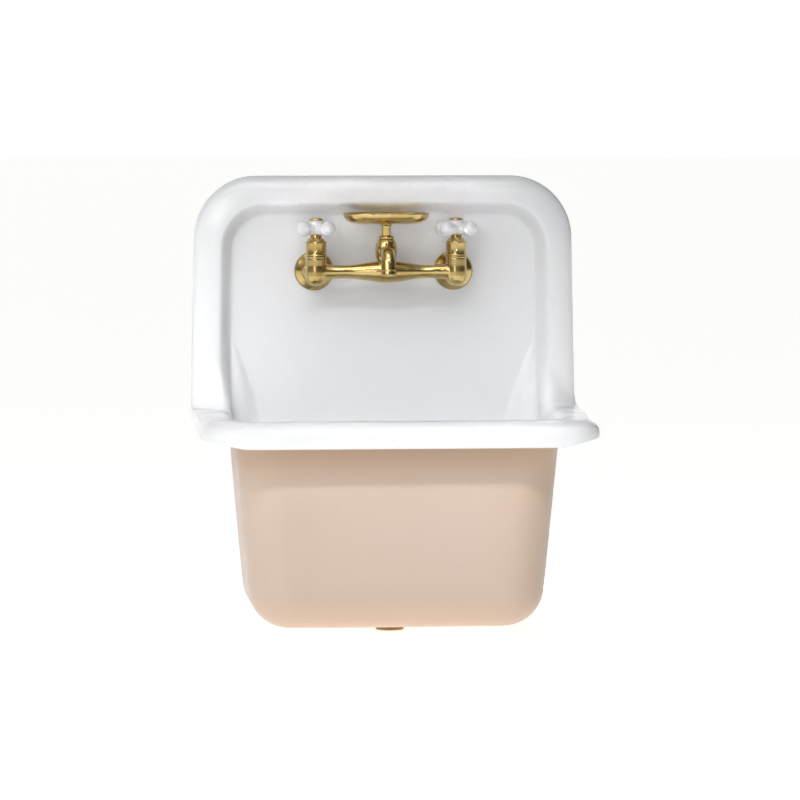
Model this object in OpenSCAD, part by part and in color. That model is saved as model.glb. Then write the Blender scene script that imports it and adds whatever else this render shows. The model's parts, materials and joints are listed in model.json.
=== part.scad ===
// Wall-hung washbasin: an enamelled cast iron basin with a high rolled back, a bridge faucet with two
// cross handles and a soap dish, a grid drain and a wall hanger. Sizes are in millimetres.
// X runs to the right, the wall is the plane y = 0, the basin stands out towards -Y, and +Z is up.
// The pieces are drawn with z = 0 at the crest of the rim; placed() moves them to the hanger's origin.

/* [Casting] */
// Overall width across the rim
rim_w = 562; // [540:1:600]
// Overall depth from the wall to the front of the rim
depth = 356; // [330:1:420]
// Height of the back's top edge above the rim's crest
back_h = 336; // [320:1:380]
// Width of the back at its top edge, as a share of the rim's width
back_taper = 0.975; // [0.95:0.005:1]
// Depth of the bowl from the rim's crest to its underside
bowl_h = 300; // [240:1:320]
// Thickness of the cast wall
wall = 7; // [5:0.5:8]
// Draft of the bowl's sides and front in degrees
draft = 5; // [2:0.5:8]
// Distance of the panel's face from the wall
panel_y = 22; // [20:1:26]
// Radius of the upright rear corners inside the bowl
rear_r = 60; // [50:1:75]
// Radius of the upright front corners inside the bowl
front_r = 55; // [52:1:70]
// Radius between the bowl's floor and its sides
floor_r = 50; // [30:1:50]

/* [Rolled rim] */
// Width of the roll inside its crest
roll_in = 20; // [16:1:24]
// Width of the roll outside its crest
roll_out = 38; // [32:1:44]
// Height of the crest above the end of the bowl's wall and above the panel
roll_rise = 23; // [18:1:26]
// Drop of the lip below the crest along the front
lip_front = 37; // [32:1:44]
// Drop of the lip below the crest along the sides
lip_side = 26; // [25:1:34]
// Drop of the lip below the crest where the sides meet the back
lip_rear = 12; // [12:1:16]
// Squareness of the roll outside its crest, where 2 is an ellipse
roll_square = 2.6; // [2:0.1:3]
// Radius of the crest where the side turns up into the back
bend_r = 24; // [10:1:28]
// Outer radius of the rim's front corners
lip_corner_r = 60; // [56:1:80]
// Outer radius of the back's top corners
top_corner_r = 90; // [70:1:110]
// Inner radius of the back's top corners
cove_corner_r = 50; // [35:1:60]

/* [Faucet] */
// Spacing of the two valves
valve_pitch = 203.2; // [190:0.1:215]
// Distance of the bridge below the back's top edge
faucet_drop = 138; // [131:1:160]
// Distance of the valves from the panel's face
valve_reach = 44; // [42:1:60]
// Radius of a valve's barrel
barrel_r = 15.5; // [15:0.1:15.8]
// Radius of the bridge where it is slimmest
arm_r = 9.4; // [8:0.1:11]
// Radius of the supply shanks' thread
shank_r = 10.3; // [9:0.1:11]
// Length of a shank's free end
shank_free = 22; // [12:1:40]
// Radius of an escutcheon
plate_r = 28.5; // [24:0.5:34]
// Height of an escutcheon
plate_h = 12.5; // [10:0.5:14]
// Bore of the waterways
water_r = 4.5; // [3:0.1:5]

/* [Valves] */
// Radius of the cartridge
cartridge_r = 10.8; // [10.5:0.1:11.5]
// Radius of the stem
stem_r = 4.5; // [4:0.1:5]
// Height of the bonnet's barrel
bonnet_h = 20.6; // [17:0.1:24]
// Height of the gland above the bonnet's barrel
gland_h = 9; // [7:0.5:12]
// Thickness of a ceramic disc
disc_t = 3; // [2:0.1:4]

/* [Handles] */
// Distance of a bulb's centre from the handle's axis
bulb_reach = 24; // [20:0.5:30]
// Radius of a bulb
bulb_r = 10.75; // [8:0.25:11]
// Radius of the handle's waist between hub and bulb
waist_r = 6.6; // [5.5:0.1:7.5]
// Radius of the button on the handle
button_r = 10.5; // [9:0.5:11.5]
// Turn of the hot handle's arms at rest
hot_turn = 38; // [0:1:90]
// Turn of the cold handle's arms at rest
cold_turn = 52; // [0:1:90]

/* [Spout and soap dish] */
// Greatest radius of the spout's hub
hub_r = 16; // [14.5:0.5:18]
// Height of the spout's hub
hub_h = 31.3; // [29:0.1:36]
// Reach of the outlet from the hub's axis
spout_reach = 42; // [38:1:60]
// Outer radius of the nozzle
nozzle_r = 10.4; // [9:0.1:10.4]
// Radius of the spigot that the spout turns on
spigot_r = 9.6; // [9:0.1:10]
// Length of the soap dish
dish_l = 125; // [100:1:140]
// Width of the soap dish
dish_w = 76; // [60:1:80]
// Height of the soap dish
dish_h = 16; // [14:1:24]
// Wall of the soap dish
dish_t = 2; // [1.5:0.1:3]
// Radius of the post under the dish
post_r = 6.6; // [5:0.1:8]
// Length of the post under the dish
post_h = 17; // [14:1:30]

/* [Drain] */
// Distance of the drain's centre from the wall
drain_y = 120; // [110:1:170]
// Radius of the drain's hole in the casting
drain_hole_r = 22.5; // [20:0.5:25]
// Radius of the strainer's flange
flange_r = 31; // [28:0.5:36]
// Outer radius of the strainer's threaded tube
tube_r = 20.5; // [19:0.5:22]
// Radius of the outlet's thread
outlet_r = 17; // [15:0.5:18]
// Length of the outlet's thread
outlet_l = 13; // [10:1:15]
// Length of the tube below the basin
tube_drop = 15; // [13:1:40]

/* [Hanger] */
// Distance of the hanger's centre below the back's top edge
hanger_drop = 90; // [80:1:96]
// Width of the hanger
hanger_w = 300; // [260:1:360]
// Height of the hanger
hanger_h = 52; // [44:1:60]
// Thickness of the hanger's plate
hanger_t = 3; // [2.5:0.1:4]
// Spacing of the screw holes across
screw_dx = 260; // [220:1:280]
// Spacing of the screw holes up and down
screw_dz = 32; // [24:1:36]
// Radius of the screw holes
screw_r = 3.5; // [2.5:0.1:4.5]
// Distance of the two hooks from the centre
hook_x = 70; // [50:1:100]
// Width of a hook
hook_w = 36; // [24:1:44]

/* [Clearances] */
// Gap between parts that turn against each other
turn_gap = 0.3; // [0.2:0.05:0.5]
// Radial clearance of a running fit
run_fit = 0.08; // [0.05:0.01:0.1]
// Radial clearance of a fixed fit
fix_fit = 0.15; // [0.1:0.05:0.3]

/* [Hidden] */
$fn = 48;

// Crest of the rim: half-width, distance of its front, height of its top, distance from the wall
crest_w = rim_w / 2 - roll_out;
crest_f = depth - roll_out;
crest_h = back_h - roll_out;
crest_y = panel_y + roll_rise;
// Where the side's crest starts to turn up
bend_y = crest_y + bend_r;
// Height at which the rear corner has faded into the panel
fade_z = 45;
// Height of the level below which the bowl is a plain drafted box
box_z = -60;
floor_z = wall - bowl_h;
// Rounding of the lip's edges, and the least radius of an upright corner near the floor
lip_edge = 2;
min_corner = 6;
// Heights of the bridge and of the hanger above the rim's crest
faucet_z = back_h - faucet_drop;
hanger_z = back_h - hanger_drop;

// Stations along one half of the rim, from the middle of the front to the middle of the top:
// front, front corner, side, bend, flank of the back, top corner, top
seg_n = [3, 6, 4, 10, 3, 7, 3];
bend_share = 0.6;
back_n = seg_n[4] + seg_n[5] + seg_n[6];
stations = concat([for (s = [0:6]) for (k = [0:seg_n[s] - 1]) [s, k / seg_n[s]]], [[6, 1]]);

function lerp(a, b, t) = a + (b - a) * t;
function ease(t) = t * t * (3 - 2 * t);

// The back narrows a little towards its top
function narrowed(p) = [p[0] * lerp(1, back_taper, max(0, p[2]) / back_h), p[1], p[2]];

// Share of the back that lies before a station
function back_share(s, t) = ((s > 4 ? seg_n[4] : 0) + (s > 5 ? seg_n[5] : 0) + t * seg_n[s]) / back_n;

// A point on the rim's loop. p = [out from the crest on the bowl, height along the front, height at the
// sides' front end, height over the back, out from the crest on the back, height at the sides' rear
// end], all counted from the crest
function rim_point(s, t, p) =
    let (
        u = s < 3 ? p[0] : s == 3 ? lerp(p[0], p[4], t) : p[4],
        w = crest_w + u,
        f = crest_f + u,
        h = crest_h + u,
        r = lerp(front_r, lip_corner_r, (u + roll_in) / (roll_in + roll_out)),
        q = lerp(cove_corner_r, top_corner_r, (u + roll_in) / (roll_in + roll_out)),
        y = -crest_y - p[3],
        m = t / bend_share,
        v = lerp(p[5], p[3], ease(min(1, m)))
    )
    narrowed(
        s == 0 ? [t * (w - r), -f, p[1]] :
        s == 1 ? [w - r + r * sin(90 * t), r - f - r * cos(90 * t), lerp(p[1], p[2], sin(90 * t))] :
        s == 2 ? [w, lerp(r - f, -bend_y, t), lerp(p[2], p[5], t)] :
        s == 3 && m < 1 ? [w, (bend_r - v) * sin(90 * m) - bend_y, bend_r - (bend_r - v) * cos(90 * m)] :
        s == 3 ? [w, y, lerp(bend_r, fade_z, (t - bend_share) / (1 - bend_share))] :
        s == 4 ? [w, y, lerp(fade_z, h - q, t)] :
        s == 5 ? [w - q + q * cos(90 * t), y, h - q + q * sin(90 * t)] :
        [(w - q) * (1 - t), y, h]);

// A point on a level loop of the bowl: half-width w, front at f, back at b, corner radii r and c
function loop_point(s, t, w, f, b, r, c, z) =
    s == 0 ? [t * (w - r), -f, z] :
    s == 1 ? [w - r + r * sin(90 * t), r - f - r * cos(90 * t), z] :
    s == 2 ? [w, lerp(r - f, -b - c, t), z] :
    s == 3 ? [w - c + c * cos(90 * t), c * sin(90 * t) - b - c, z] :
    [(w - c) * (1 - back_share(s, t)), -b, z];

// Lean of the bowl's wall at a height
function lean(z) = (z + roll_rise) * tan(draft);

// The bowl's level loop, set out by the wall's thickness or by nothing, and drawn in by inset
function bowl_point(s, t, out, z, inset) = loop_point(s, t,
    crest_w - roll_in + lean(z) + out - inset, crest_f - roll_in + lean(z) + out - inset,
    panel_y - out + inset, max(front_r + out - inset, min_corner), max(rear_r + out - inset, min_corner), z);

// The round between the floor and the wall, at an angle from the floor
function floor_round(s, t, out, base, r, a) =
    let (z = base + r - r * cos(a), top = base + r - r * sin(draft))
    bowl_point(s, t, out, z, (z - top) * tan(draft) + r * cos(draft) - r * sin(a));

// A ring around the drain, on the ray to a point of the floor
function drain_point(p, z) =
    let (a = atan2(p[1] + drain_y, p[0]), r = drain_hole_r / 2)
    [r * cos(a), r * sin(a) - drain_y, z];

// A point between the bowl's box and the roll, leaving the box upright
function blend_point(a, b, s, t, k) =
    let (g = s == 3 ? 0.6 - 0.5 * sin(180 * t) : 0.6,
        c = [lerp(a[0], b[0], g), lerp(a[1], b[1], g), lerp(a[2], b[2], 0.6)])
    a * (1 - k) * (1 - k) + c * 2 * k * (1 - k) + b * k * k;

// Steps across the roll's inner half, its outer half and its underside, across the floor's round, and
// between the bowl's box and the roll
inner_n = 4;
outer_n = 6;
under_n = 3;
round_n = 4;
blend_n = 4;
// Drop of the roll's outer half from the crest to where the lip hangs straight: on the rim, over the
// back, and at the rear end of the sides
shoulder = 22;
back_shoulder = 26;
rear_shoulder = 2;
function squared(v) = pow(v, 2 / roll_square);
// Points across the roll: [out on the bowl, front, side, back, out on the back, rear end of the side]
roll_face = concat(
    [for (k = [0:inner_n]) let (a = 90 * k / inner_n, v = roll_rise * (sin(a) - 1),
        e = roll_rise * (ease(k / inner_n) - 1), x = roll_in * (k / inner_n - 1))
        [-roll_in * cos(a), v, v, e, x, v]],
    [for (k = [1:outer_n]) let (a = 90 * k / outer_n, c = squared(cos(a)) - 1, v = shoulder * c)
        [roll_out * squared(sin(a)), v, v, back_shoulder * (cos(a) - 1), roll_out * sin(a),
            rear_shoulder * c]]);
roll_lip = [for (e = [[0, lip_edge], [lip_edge, 0], [wall - lip_edge, 0], [wall, lip_edge]])
    [roll_out - e[0], e[1] - lip_front, e[1] - lip_side, e[1] - crest_y, roll_out - e[0], e[1] - lip_rear]];
roll_under = concat(
    [for (k = [0:under_n])
        let (a = 90 - 90 * k / under_n, c = squared(cos(a)) - 1, x = roll_out - wall,
            v = (shoulder - wall) * c - wall)
        [x * squared(sin(a)), v, v, (back_shoulder - wall) * (cos(a) - 1) - wall, x * sin(a),
            rear_shoulder * c - wall]],
    [[wall * 0.6 - roll_in / 2, -1.5 * wall, -1.5 * wall, -2 * wall, -roll_in / 2, -1.5 * wall],
        [wall - roll_in, -roll_rise, -roll_rise, -roll_rise - wall, -roll_in, -roll_rise]]);

// All the loops of the casting, from the drain up the inside, over the roll, and down the outside
function casting_rings(s, t) =
    let (
        floor_a = floor_round(s, t, 0, floor_z, floor_r, 0),
        floor_b = floor_round(s, t, wall, -bowl_h, floor_r + wall, 0),
        box_a = bowl_point(s, t, 0, box_z, 0),
        box_b = bowl_point(s, t, wall, box_z, 0),
        roll_a = rim_point(s, t, roll_face[0]),
        roll_b = rim_point(s, t, roll_under[len(roll_under) - 1])
    )
    concat(
        [drain_point(floor_a, floor_z)],
        [for (k = [0:round_n]) floor_round(s, t, 0, floor_z, floor_r, (90 - draft) * k / round_n)],
        [for (k = [0:blend_n - 1]) blend_point(box_a, roll_a, s, t, k / blend_n)],
        [for (p = roll_face) rim_point(s, t, p)],
        [for (p = roll_lip) rim_point(s, t, p)],
        [for (p = roll_under) rim_point(s, t, p)],
        [for (k = [1:blend_n]) blend_point(box_b, roll_b, s, t, 1 - k / blend_n)],
        [for (k = [round_n:-1:0])
            floor_round(s, t, wall, -bowl_h, floor_r + wall, (90 - draft) * k / round_n)],
        [drain_point(floor_b, -bowl_h)]);

// One polyhedron: the sections stand side by side around the whole loop, the second half mirrored
module casting_shell() {
    half = [for (q = stations) casting_rings(q[0], q[1])];
    n = len(half);
    m = len(half[0]);
    loop = concat(half, [for (i = [n - 2:-1:1]) [for (p = half[i]) [-p[0], p[1], p[2]]]]);
    c = len(loop);
    polyhedron(
        points = [for (section = loop) for (p = section) p],
        faces = [for (i = [0:c - 1]) for (j = [0:m - 1]) for (half_quad = [0, 1])
            let (next = (i + 1) % c * m, up = (j + 1) % m,
                a = i * m + j, b = i * m + up, d = next + up, e = next + j)
            half_quad == 0 ? [a, d, b] : [a, e, d]]);
}

// Valves, in heights above the bridge's axis
valve_y = panel_y + valve_reach;
arm_x = valve_pitch / 2;
// The bridge's arms and the union tails end inside the barrels
arm_end = arm_x - 5;
tail_end = valve_y - 4;
// Bottom of the barrel's rounded end, the cartridge's seat, the step in the socket, the barrel's top
bulb_z = -21;
seat_z = -1;
step_z = 12;
barrel_top = 22.6;
step_r = cartridge_r + 2;
// Shallow waist and bead that ring the barrel below its top
waist_in = 0.5;
bead_out = 0.6;
bead_h = 2.2;
// Middle of the bridge: greatest radius, underside, radius where the arms leave it, and its neck
belly_r = 15.6;
belly_z = -15.8;
arm_root_r = 16;
neck_r = 13.5;
neck_z = 15.7;
// Groove between barrel and bonnet
groove = 0.8;
bonnet_z = barrel_top + groove;
gland_z = bonnet_z + bonnet_h;
gland_top = gland_z + gland_h;
gland_r = 8.5;
bonnet_r = barrel_r - 0.3;
bonnet_edge = 1;
// Waterways: chamber below the seat, inlet through the union, bore along the bridge
chamber_r = 7.5;
chamber_z = -14;
inlet_r = water_r + 1.5;
inlet_l = 9;
bridge_bore_z = 5;
seal_t = 1.8;
disc_r = 8.9;
disc_z = seat_z + seal_t + 0.4;
drive_z = disc_z + 2 * disc_t;
drive_t = 5;
cartridge_top = gland_z - 5;

// Handle, in the same heights
handle_z = gland_top + 9;
skirt_z = gland_top + turn_gap;
hub_top = handle_z + 12;
// Porcelain boss in the middle of the cross: greatest radius and radius of its foot
boss_r = 12.6;
boss_foot_r = 9;
// Arm of the cross: end of its waist, and its radius where it meets the boss
waist_x = bulb_reach * 0.55;
waist_root_r = waist_r * 1.09;
insert_r = 7;
insert_roof = 2;
skirt_r = gland_r + 0.2;
skirt_t = 2.2;
button_z = hub_top + turn_gap;
button_t = 4;
// Depth and radius of the button's socket in the boss
button_socket = 4;
button_spigot_r = button_r - 3;
stem_top = handle_z + 4;
screw_shank_r = 2;
screw_shank_l = 9;
screw_head_r = 4;
screw_head_t = 2.4;

// Unions and shanks, in distances from the wall
tail_r = 10.5;
tail_flange_r = 13;
tail_flange_t = 3;
head_r = 13.6;
head_t = 7;
nut_r = 18;
nut_lip = 2.8;
plate_gasket_t = 1.5;
escutcheon_y = panel_y + plate_gasket_t;
head_y = escutcheon_y + plate_h;
washer_y = head_y + head_t;
washer_t = 1.2;
tail_y = washer_y + washer_t;
nut_front = tail_y + tail_flange_t + nut_lip;
panel_back = panel_y - wall;
hole_r = shank_r + 1.2;
washer_back_t = 2;
locknut_t = 7;
locknut_w = 5.7;
locknut_y = panel_back - washer_back_t - locknut_t;
relief_t = 1.2;
free_y = locknut_y - relief_t;

// Spout, in heights above the bridge's axis
hub_z = neck_z + turn_gap;
hub_top_z = hub_z + hub_h;
spigot_top = hub_top_z + turn_gap;
ring_z = [hub_z + 2.5, hub_z + hub_h * 0.67];
ring_r = 1.3;
port_z = hub_z + 12.5;
port_r = 3;
// Radius of the hub's foot, and width of the gallery around the spigot's ports
hub_foot_r = 14.2;
gallery_w = 2;
cap_r = 11;
cap_t = 4.4;
tail_screw_r = 4;
post_z = spigot_top + cap_t;
dish_z = post_z + post_h;
// Nozzle: bend, height of its level leg, lean of its outlet from plumb, and the collar at its end
elbow_r = 18;
leg_z = hub_z + 10.5;
spout_lean = 10;
collar_l = 9.5;
collar_step = 0.4;
aerator_r = 10.9;
aerator_l = 6.5;
aerator_bore = 7.6;
aerator_roof = 1.5;
outlet_bore = 6;
outlet_r_end = outlet_bore - 0.5;
screen_t = 1.2;
screen_low = collar_l + 4;
screen_hole_r = 0.95;
screen_ring = [3.2, 5.8];

module placed() translate([0, 0, -hanger_z]) children();
module at_bridge() placed() translate([0, -valve_y, faucet_z]) children();
module at_valve(side) at_bridge() translate([side * arm_x, 0, 0]) children();
// Along the supply line: local +Z runs from the wall plane towards the room
module at_supply(side) placed() translate([side * arm_x, 0, faucet_z]) rotate([90, 0, 0]) children();
module at_drain() placed() translate([0, -drain_y, 0]) children();
module turned(points) rotate_extrude() polygon(points);
module tube(outer, inner, low, high) translate([0, 0, low]) difference() {
    cylinder(r = outer, h = high - low);
    translate([0, 0, -1]) cylinder(r = inner, h = high - low + 2);
}
module rod(r, low, high) translate([0, 0, low]) cylinder(r = r, h = high - low);
module hex_nut(flat_r, inner, low, high) translate([0, 0, low]) difference() {
    cylinder(r = flat_r / cos(30), h = high - low, $fn = 6);
    translate([0, 0, -1]) cylinder(r = inner, h = high - low + 2);
}
module screw(head, head_t, shank, length) {
    rod(head, 0, head_t);
    rod(shank, -length, 0.01);
}

// Hooks of the hanger, in heights above the hanger's centre, and the lugs that drop over them
hook_t = 3;
hook_y = 9.6;
hook_foot = -6;
hook_top = 8;
hook_gap = 0.4;
lug_margin = 2;
lug_foot = 0;
lug_top = 18;
lug_front = hanger_t + 0.5;
// Length by which a cut runs past the face it opens
past = 5;

// Two cast lugs on the back of the panel, open below, that drop over the hanger's hooks
module lug(x) placed() translate([x, 0, hanger_z]) difference() {
    translate([-hook_w / 2 - lug_margin, -panel_back - wall / 2, lug_foot])
        cube([hook_w + 2 * lug_margin, panel_back + wall / 2 - lug_front, lug_top - lug_foot]);
    translate([-hook_w / 2 - 2 * lug_margin, -hook_y - hook_gap, lug_foot - past])
        cube([hook_w + 4 * lug_margin, hook_t + 2 * hook_gap, hook_top + hook_gap - lug_foot + past]);
}

module basin() color("white") difference() {
    union() {
        placed() casting_shell();
        lug(-hook_x);
        lug(hook_x);
    }
    at_drain() rod(drain_hole_r, -bowl_h - past, floor_z + past);
    for (side = [-1, 1]) at_supply(side) rod(hole_r, 0, panel_y + past);
}

// A plate against the wall with four screw holes and two upturned hooks
module wall_hanger() color("dimgray") placed() translate([0, 0, hanger_z]) difference() {
    union() {
        translate([-hanger_w / 2, -hanger_t, -hanger_h / 2]) cube([hanger_w, hanger_t, hanger_h]);
        for (x = [-hook_x, hook_x]) translate([x - hook_w / 2, -hook_y, hook_foot]) {
            cube([hook_w, hook_y - hanger_t / 2, hook_t]);
            cube([hook_w, hook_t, hook_top - hook_foot]);
        }
    }
    for (x = [-1, 1]) for (z = [-1, 1]) translate([x * screw_dx / 2, 1, z * screw_dz / 2])
        rotate([90, 0, 0]) cylinder(r = screw_r, h = hanger_t + 2);
}

// Drain: flange and threaded tube, seals above and below the casting, locknut
gasket_t = 1.5;
flange_t = 3;
flange_edge = 1;
flange_z = floor_z + gasket_t;
flange_top = flange_z + flange_t;
bore_r = tube_r - 4;
under_z = -bowl_h;
drain_washer_t = 2.5;
friction_t = 0.8;
drain_nut_t = 6;
drain_nut_w = 5.5;
drain_washer_w = 7;
nut_z = under_z - drain_washer_t - friction_t;
tube_end = under_z - tube_drop;
// Grid: seat, thickness, radius of its holes and of the two circles that they stand on
seat_w = 2;
grid_z = flange_z - 4;
grid_t = 2;
grid_top = grid_z + grid_t;
grid_hole_r = 2.2;
grid_ring = [7, 13.2];
bar_w = 7;
bar_t = 5;
drain_screw_r = 2.4;
drain_head_r = 4.5;
drain_head_t = 1.5;
module drain_gasket() color("dimgray") at_drain()
    tube(flange_r - 1, tube_r + 0.4, floor_z, flange_z);
module strainer_body() color("darkgoldenrod") at_drain() {
    difference() {
        union() {
            turned([[0, flange_z], [flange_r, flange_z], [flange_r, flange_z + flange_edge],
                [flange_r - flange_t, flange_top], [0, flange_top]]);
            rod(tube_r, tube_end, flange_z + flange_edge / 2);
        }
        rod(bore_r, tube_end + outlet_l - 1, flange_top + past);
        rod(outlet_r, tube_end - past, tube_end + outlet_l);
        rod(bore_r + seat_w, grid_z, flange_top + past);
    }
    difference() {
        translate([-bore_r - 1, -bar_w / 2, grid_z - bar_t]) cube([2 * bore_r + 2, bar_w, bar_t]);
        rod(drain_screw_r, grid_z - bar_t - past, grid_z + past);
    }
}
module strainer_grid() color("goldenrod") at_drain() difference() {
    rod(bore_r + seat_w - fix_fit, grid_z, grid_top);
    rod(drain_screw_r + fix_fit, grid_z - past, grid_top + past);
    for (a = [0:60:300]) rotate(a) translate([grid_ring[0], 0, 0])
        rod(grid_hole_r, grid_z - past, grid_top + past);
    for (a = [15:30:345]) rotate(a) translate([grid_ring[1], 0, 0])
        rod(grid_hole_r, grid_z - past, grid_top + past);
}
module strainer_screw() color("gold") at_drain() translate([0, 0, grid_top])
    screw(drain_head_r, drain_head_t, drain_screw_r - 0.1, bar_t + grid_t - 1);
module drain_washer() color("dimgray") at_drain()
    tube(tube_r + drain_washer_w, tube_r + fix_fit, under_z - drain_washer_t, under_z);
module friction_washer() color("silver") at_drain()
    tube(tube_r + drain_washer_w - 0.5, tube_r + fix_fit, nut_z, under_z - drain_washer_t);
module drain_locknut() color("darkgoldenrod") at_drain()
    hex_nut(tube_r + drain_nut_w, tube_r + fix_fit, nut_z - drain_nut_t, nut_z);

// Faucet body: bridge, valve sockets, union tails and the neck that the spout turns on
// The arms taper from the middle to their slimmest part and swell again into the barrels
arm_n = 8;
slim_share = 0.6;
module bridge_arm() rotate([0, 90, 0]) turned(concat(
    [[0, -arm_end]],
    [for (k = [-arm_n:arm_n]) let (m = abs(k) / arm_n)
        [m < slim_share ? lerp(arm_root_r, arm_r, ease(m / slim_share)) :
            lerp(arm_r, barrel_r - 2.2, pow((m - slim_share) / (1 - slim_share), 2)), k / arm_n * arm_end]],
    [[0, arm_end]]));
module barrel() turned([[0, bulb_z], [barrel_r * 0.4, bulb_z * 0.95], [barrel_r * 0.7, bulb_z * 0.83],
    [barrel_r * 0.9, bulb_z * 0.62], [barrel_r, bulb_z * 0.33], [barrel_r, 0],
    [barrel_r - waist_in, barrel_top * 0.4], [barrel_r - waist_in, barrel_top - bead_h - waist_in],
    [barrel_r + bead_out, barrel_top - bead_h], [barrel_r + bead_out, barrel_top - bead_out],
    [barrel_r, barrel_top], [0, barrel_top]]);
module belly() turned([[0, belly_z], [belly_r * 0.45, belly_z * 0.92], [belly_r * 0.77, belly_z * 0.7],
    [belly_r * 0.985, belly_z * 0.25], [belly_r, neck_z * 0.2], [belly_r * 0.935, neck_z * 0.64],
    [neck_r, neck_z], [0, neck_z]]);
module faucet_body() color("goldenrod") difference() {
    union() {
        at_bridge() bridge_arm();
        at_bridge() belly();
        at_bridge() rod(spigot_r, neck_z - 1, spigot_top);
        for (side = [-1, 1]) {
            at_valve(side) rotate(-100) barrel();
            at_supply(side) rotate(50) rod(tail_r, tail_y, tail_end);
            at_supply(side) rotate(50) rod(tail_flange_r, tail_y, tail_y + tail_flange_t);
        }
    }
    for (side = [-1, 1]) {
        at_valve(side) rod(step_r + fix_fit, step_z, barrel_top + past);
        at_valve(side) rod(cartridge_r + fix_fit, seat_z, step_z + 1);
        at_valve(side) rod(chamber_r, chamber_z, seat_z + 1);
        at_supply(side) rod(inlet_r, tail_y - past, tail_y + inlet_l);
        at_supply(side) translate([0, chamber_z / 2, 0]) rod(water_r, tail_y + inlet_l - 3, valve_y);
    }
    at_bridge() translate([0, 0, bridge_bore_z]) rotate([0, 90, 0]) rod(water_r, 5 - arm_x, arm_x - 5);
    at_bridge() rod(water_r, bridge_bore_z, port_z + port_r);
    at_bridge() translate([0, 0, port_z]) rotate([90, 0, 0]) rod(port_r, -spigot_r - 1, spigot_r + 1);
    at_bridge() rod(tail_screw_r + fix_fit, port_z + 2 * port_r, spigot_top + past);
    for (z = ring_z) at_bridge() translate([0, 0, z])
        tube(spigot_r + 1, spigot_r - 2 * ring_r, -ring_r - run_fit, ring_r + run_fit);
}

// Supply line from the wall to the union
module gasket(side) color("dimgray") at_supply(side)
    tube(plate_r - plate_gasket_t, hole_r, panel_y, escutcheon_y);
// The escutcheon's outline, from its flat foot to the collar around the union
foot_w = 3;
foot_t = 1.6;
module escutcheon(side) color("goldenrod") at_supply(side) difference() {
    turned([[0, escutcheon_y], [plate_r, escutcheon_y], [plate_r, escutcheon_y + foot_t],
        [plate_r - foot_w / 2, escutcheon_y + plate_h * 0.24],
        [plate_r * 0.82, escutcheon_y + plate_h * 0.45], [plate_r * 0.68, escutcheon_y + plate_h * 0.67],
        [head_r + 2, head_y], [0, head_y]]);
    turned([[0, escutcheon_y - 1], [plate_r - foot_w, escutcheon_y - 1],
        [plate_r - foot_w, escutcheon_y + foot_t / 2], [plate_r * 0.68, escutcheon_y + plate_h * 0.45],
        [head_r, head_y - 2], [0, head_y - 2]]);
    rod(shank_r + fix_fit, escutcheon_y, head_y + past);
}
module shank(side) color("darkgoldenrod") at_supply(side) difference() {
    union() {
        rod(head_r, head_y, washer_y);
        rod(shank_r, locknut_y, head_y + 1);
        rod(shank_r - 1, free_y - 0.5, locknut_y + 0.5);
        rod(shank_r, free_y - shank_free, free_y);
    }
    rod(inlet_r, free_y - shank_free - past, washer_y + past);
}
module union_nut(side) color("goldenrod") at_supply(side) difference() {
    union() {
        hex_nut(nut_r - 1.5, 1, head_y + 1, nut_front - 4);
        rod(nut_r - 2, nut_front - 5, nut_front);
    }
    rod(head_r + fix_fit, head_y, nut_front - nut_lip);
    rod(tail_r + fix_fit, nut_front - nut_lip - 1, nut_front + past);
}
module shank_washer(side) color("dimgray") at_supply(side)
    tube(shank_r + locknut_w + 2.8, shank_r + fix_fit, locknut_y + locknut_t, panel_back);
module shank_locknut(side) color("darkgoldenrod") at_supply(side)
    hex_nut(shank_r + locknut_w, shank_r + fix_fit, locknut_y, locknut_y + locknut_t);
module union_washers() color("dimgray") for (side = [-1, 1]) at_supply(side)
    tube(tail_flange_r - 0.5, inlet_r + 1, washer_y, tail_y);

// Valve: seal, cartridge with two ceramic discs, stem and bonnet
window_r = 2.2;
disc_port_r = 2.4;
disc_port_x = 4.6;
drive_plate_t = 2.6;
screw_hole_l = 8;
module seat_seal(side) color("dimgray") at_valve(side)
    tube(cartridge_r - 0.5, chamber_r - 1, seat_z, seat_z + seal_t);
module cartridge(side) color("gold") at_valve(side) difference() {
    rod(cartridge_r, seat_z + seal_t, cartridge_top);
    rod(chamber_r, seat_z, disc_z + 0.5);
    rod(disc_r + run_fit, disc_z, drive_z + drive_t + 1);
    rod(stem_r + run_fit, drive_z, cartridge_top + past);
    for (a = [0, 90]) rotate(a) translate([0, 0, drive_z + window_r - 0.6]) rotate([90, 0, 0])
        rod(window_r, -cartridge_r - 1, cartridge_r + 1);
}
module disc(side, low) color("whitesmoke") at_valve(side) difference() {
    rod(disc_r, low, low + disc_t);
    for (a = [0, 180]) rotate(a) translate([disc_port_x, 0, 0]) rod(disc_port_r, low - 1, low + disc_t + 1);
}
module fixed_disc(side) disc(side, disc_z);
module moving_disc(side) disc(side, disc_z + disc_t);
module stem(side) color("darkgoldenrod") at_valve(side) difference() {
    union() {
        rod(disc_r - 0.2, drive_z, drive_z + drive_plate_t);
        rod(stem_r, drive_z, stem_top);
    }
    rod(screw_shank_r, stem_top - screw_hole_l, stem_top + past);
}
module bonnet(side) color("goldenrod") at_valve(side) difference() {
    union() {
        rod(step_r, step_z + 1, bonnet_z + 1);
        turned([[0, bonnet_z], [bonnet_r, bonnet_z], [bonnet_r, gland_z - bonnet_edge],
            [bonnet_r - bonnet_edge, gland_z], [gland_r + 2, gland_z + gland_h * 0.45],
            [gland_r, gland_z + gland_h * 0.55], [gland_r, gland_top], [0, gland_top]]);
    }
    rod(cartridge_r + fix_fit, step_z, cartridge_top);
    rod(stem_r + turn_gap, cartridge_top - 1, gland_top + past);
}

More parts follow.
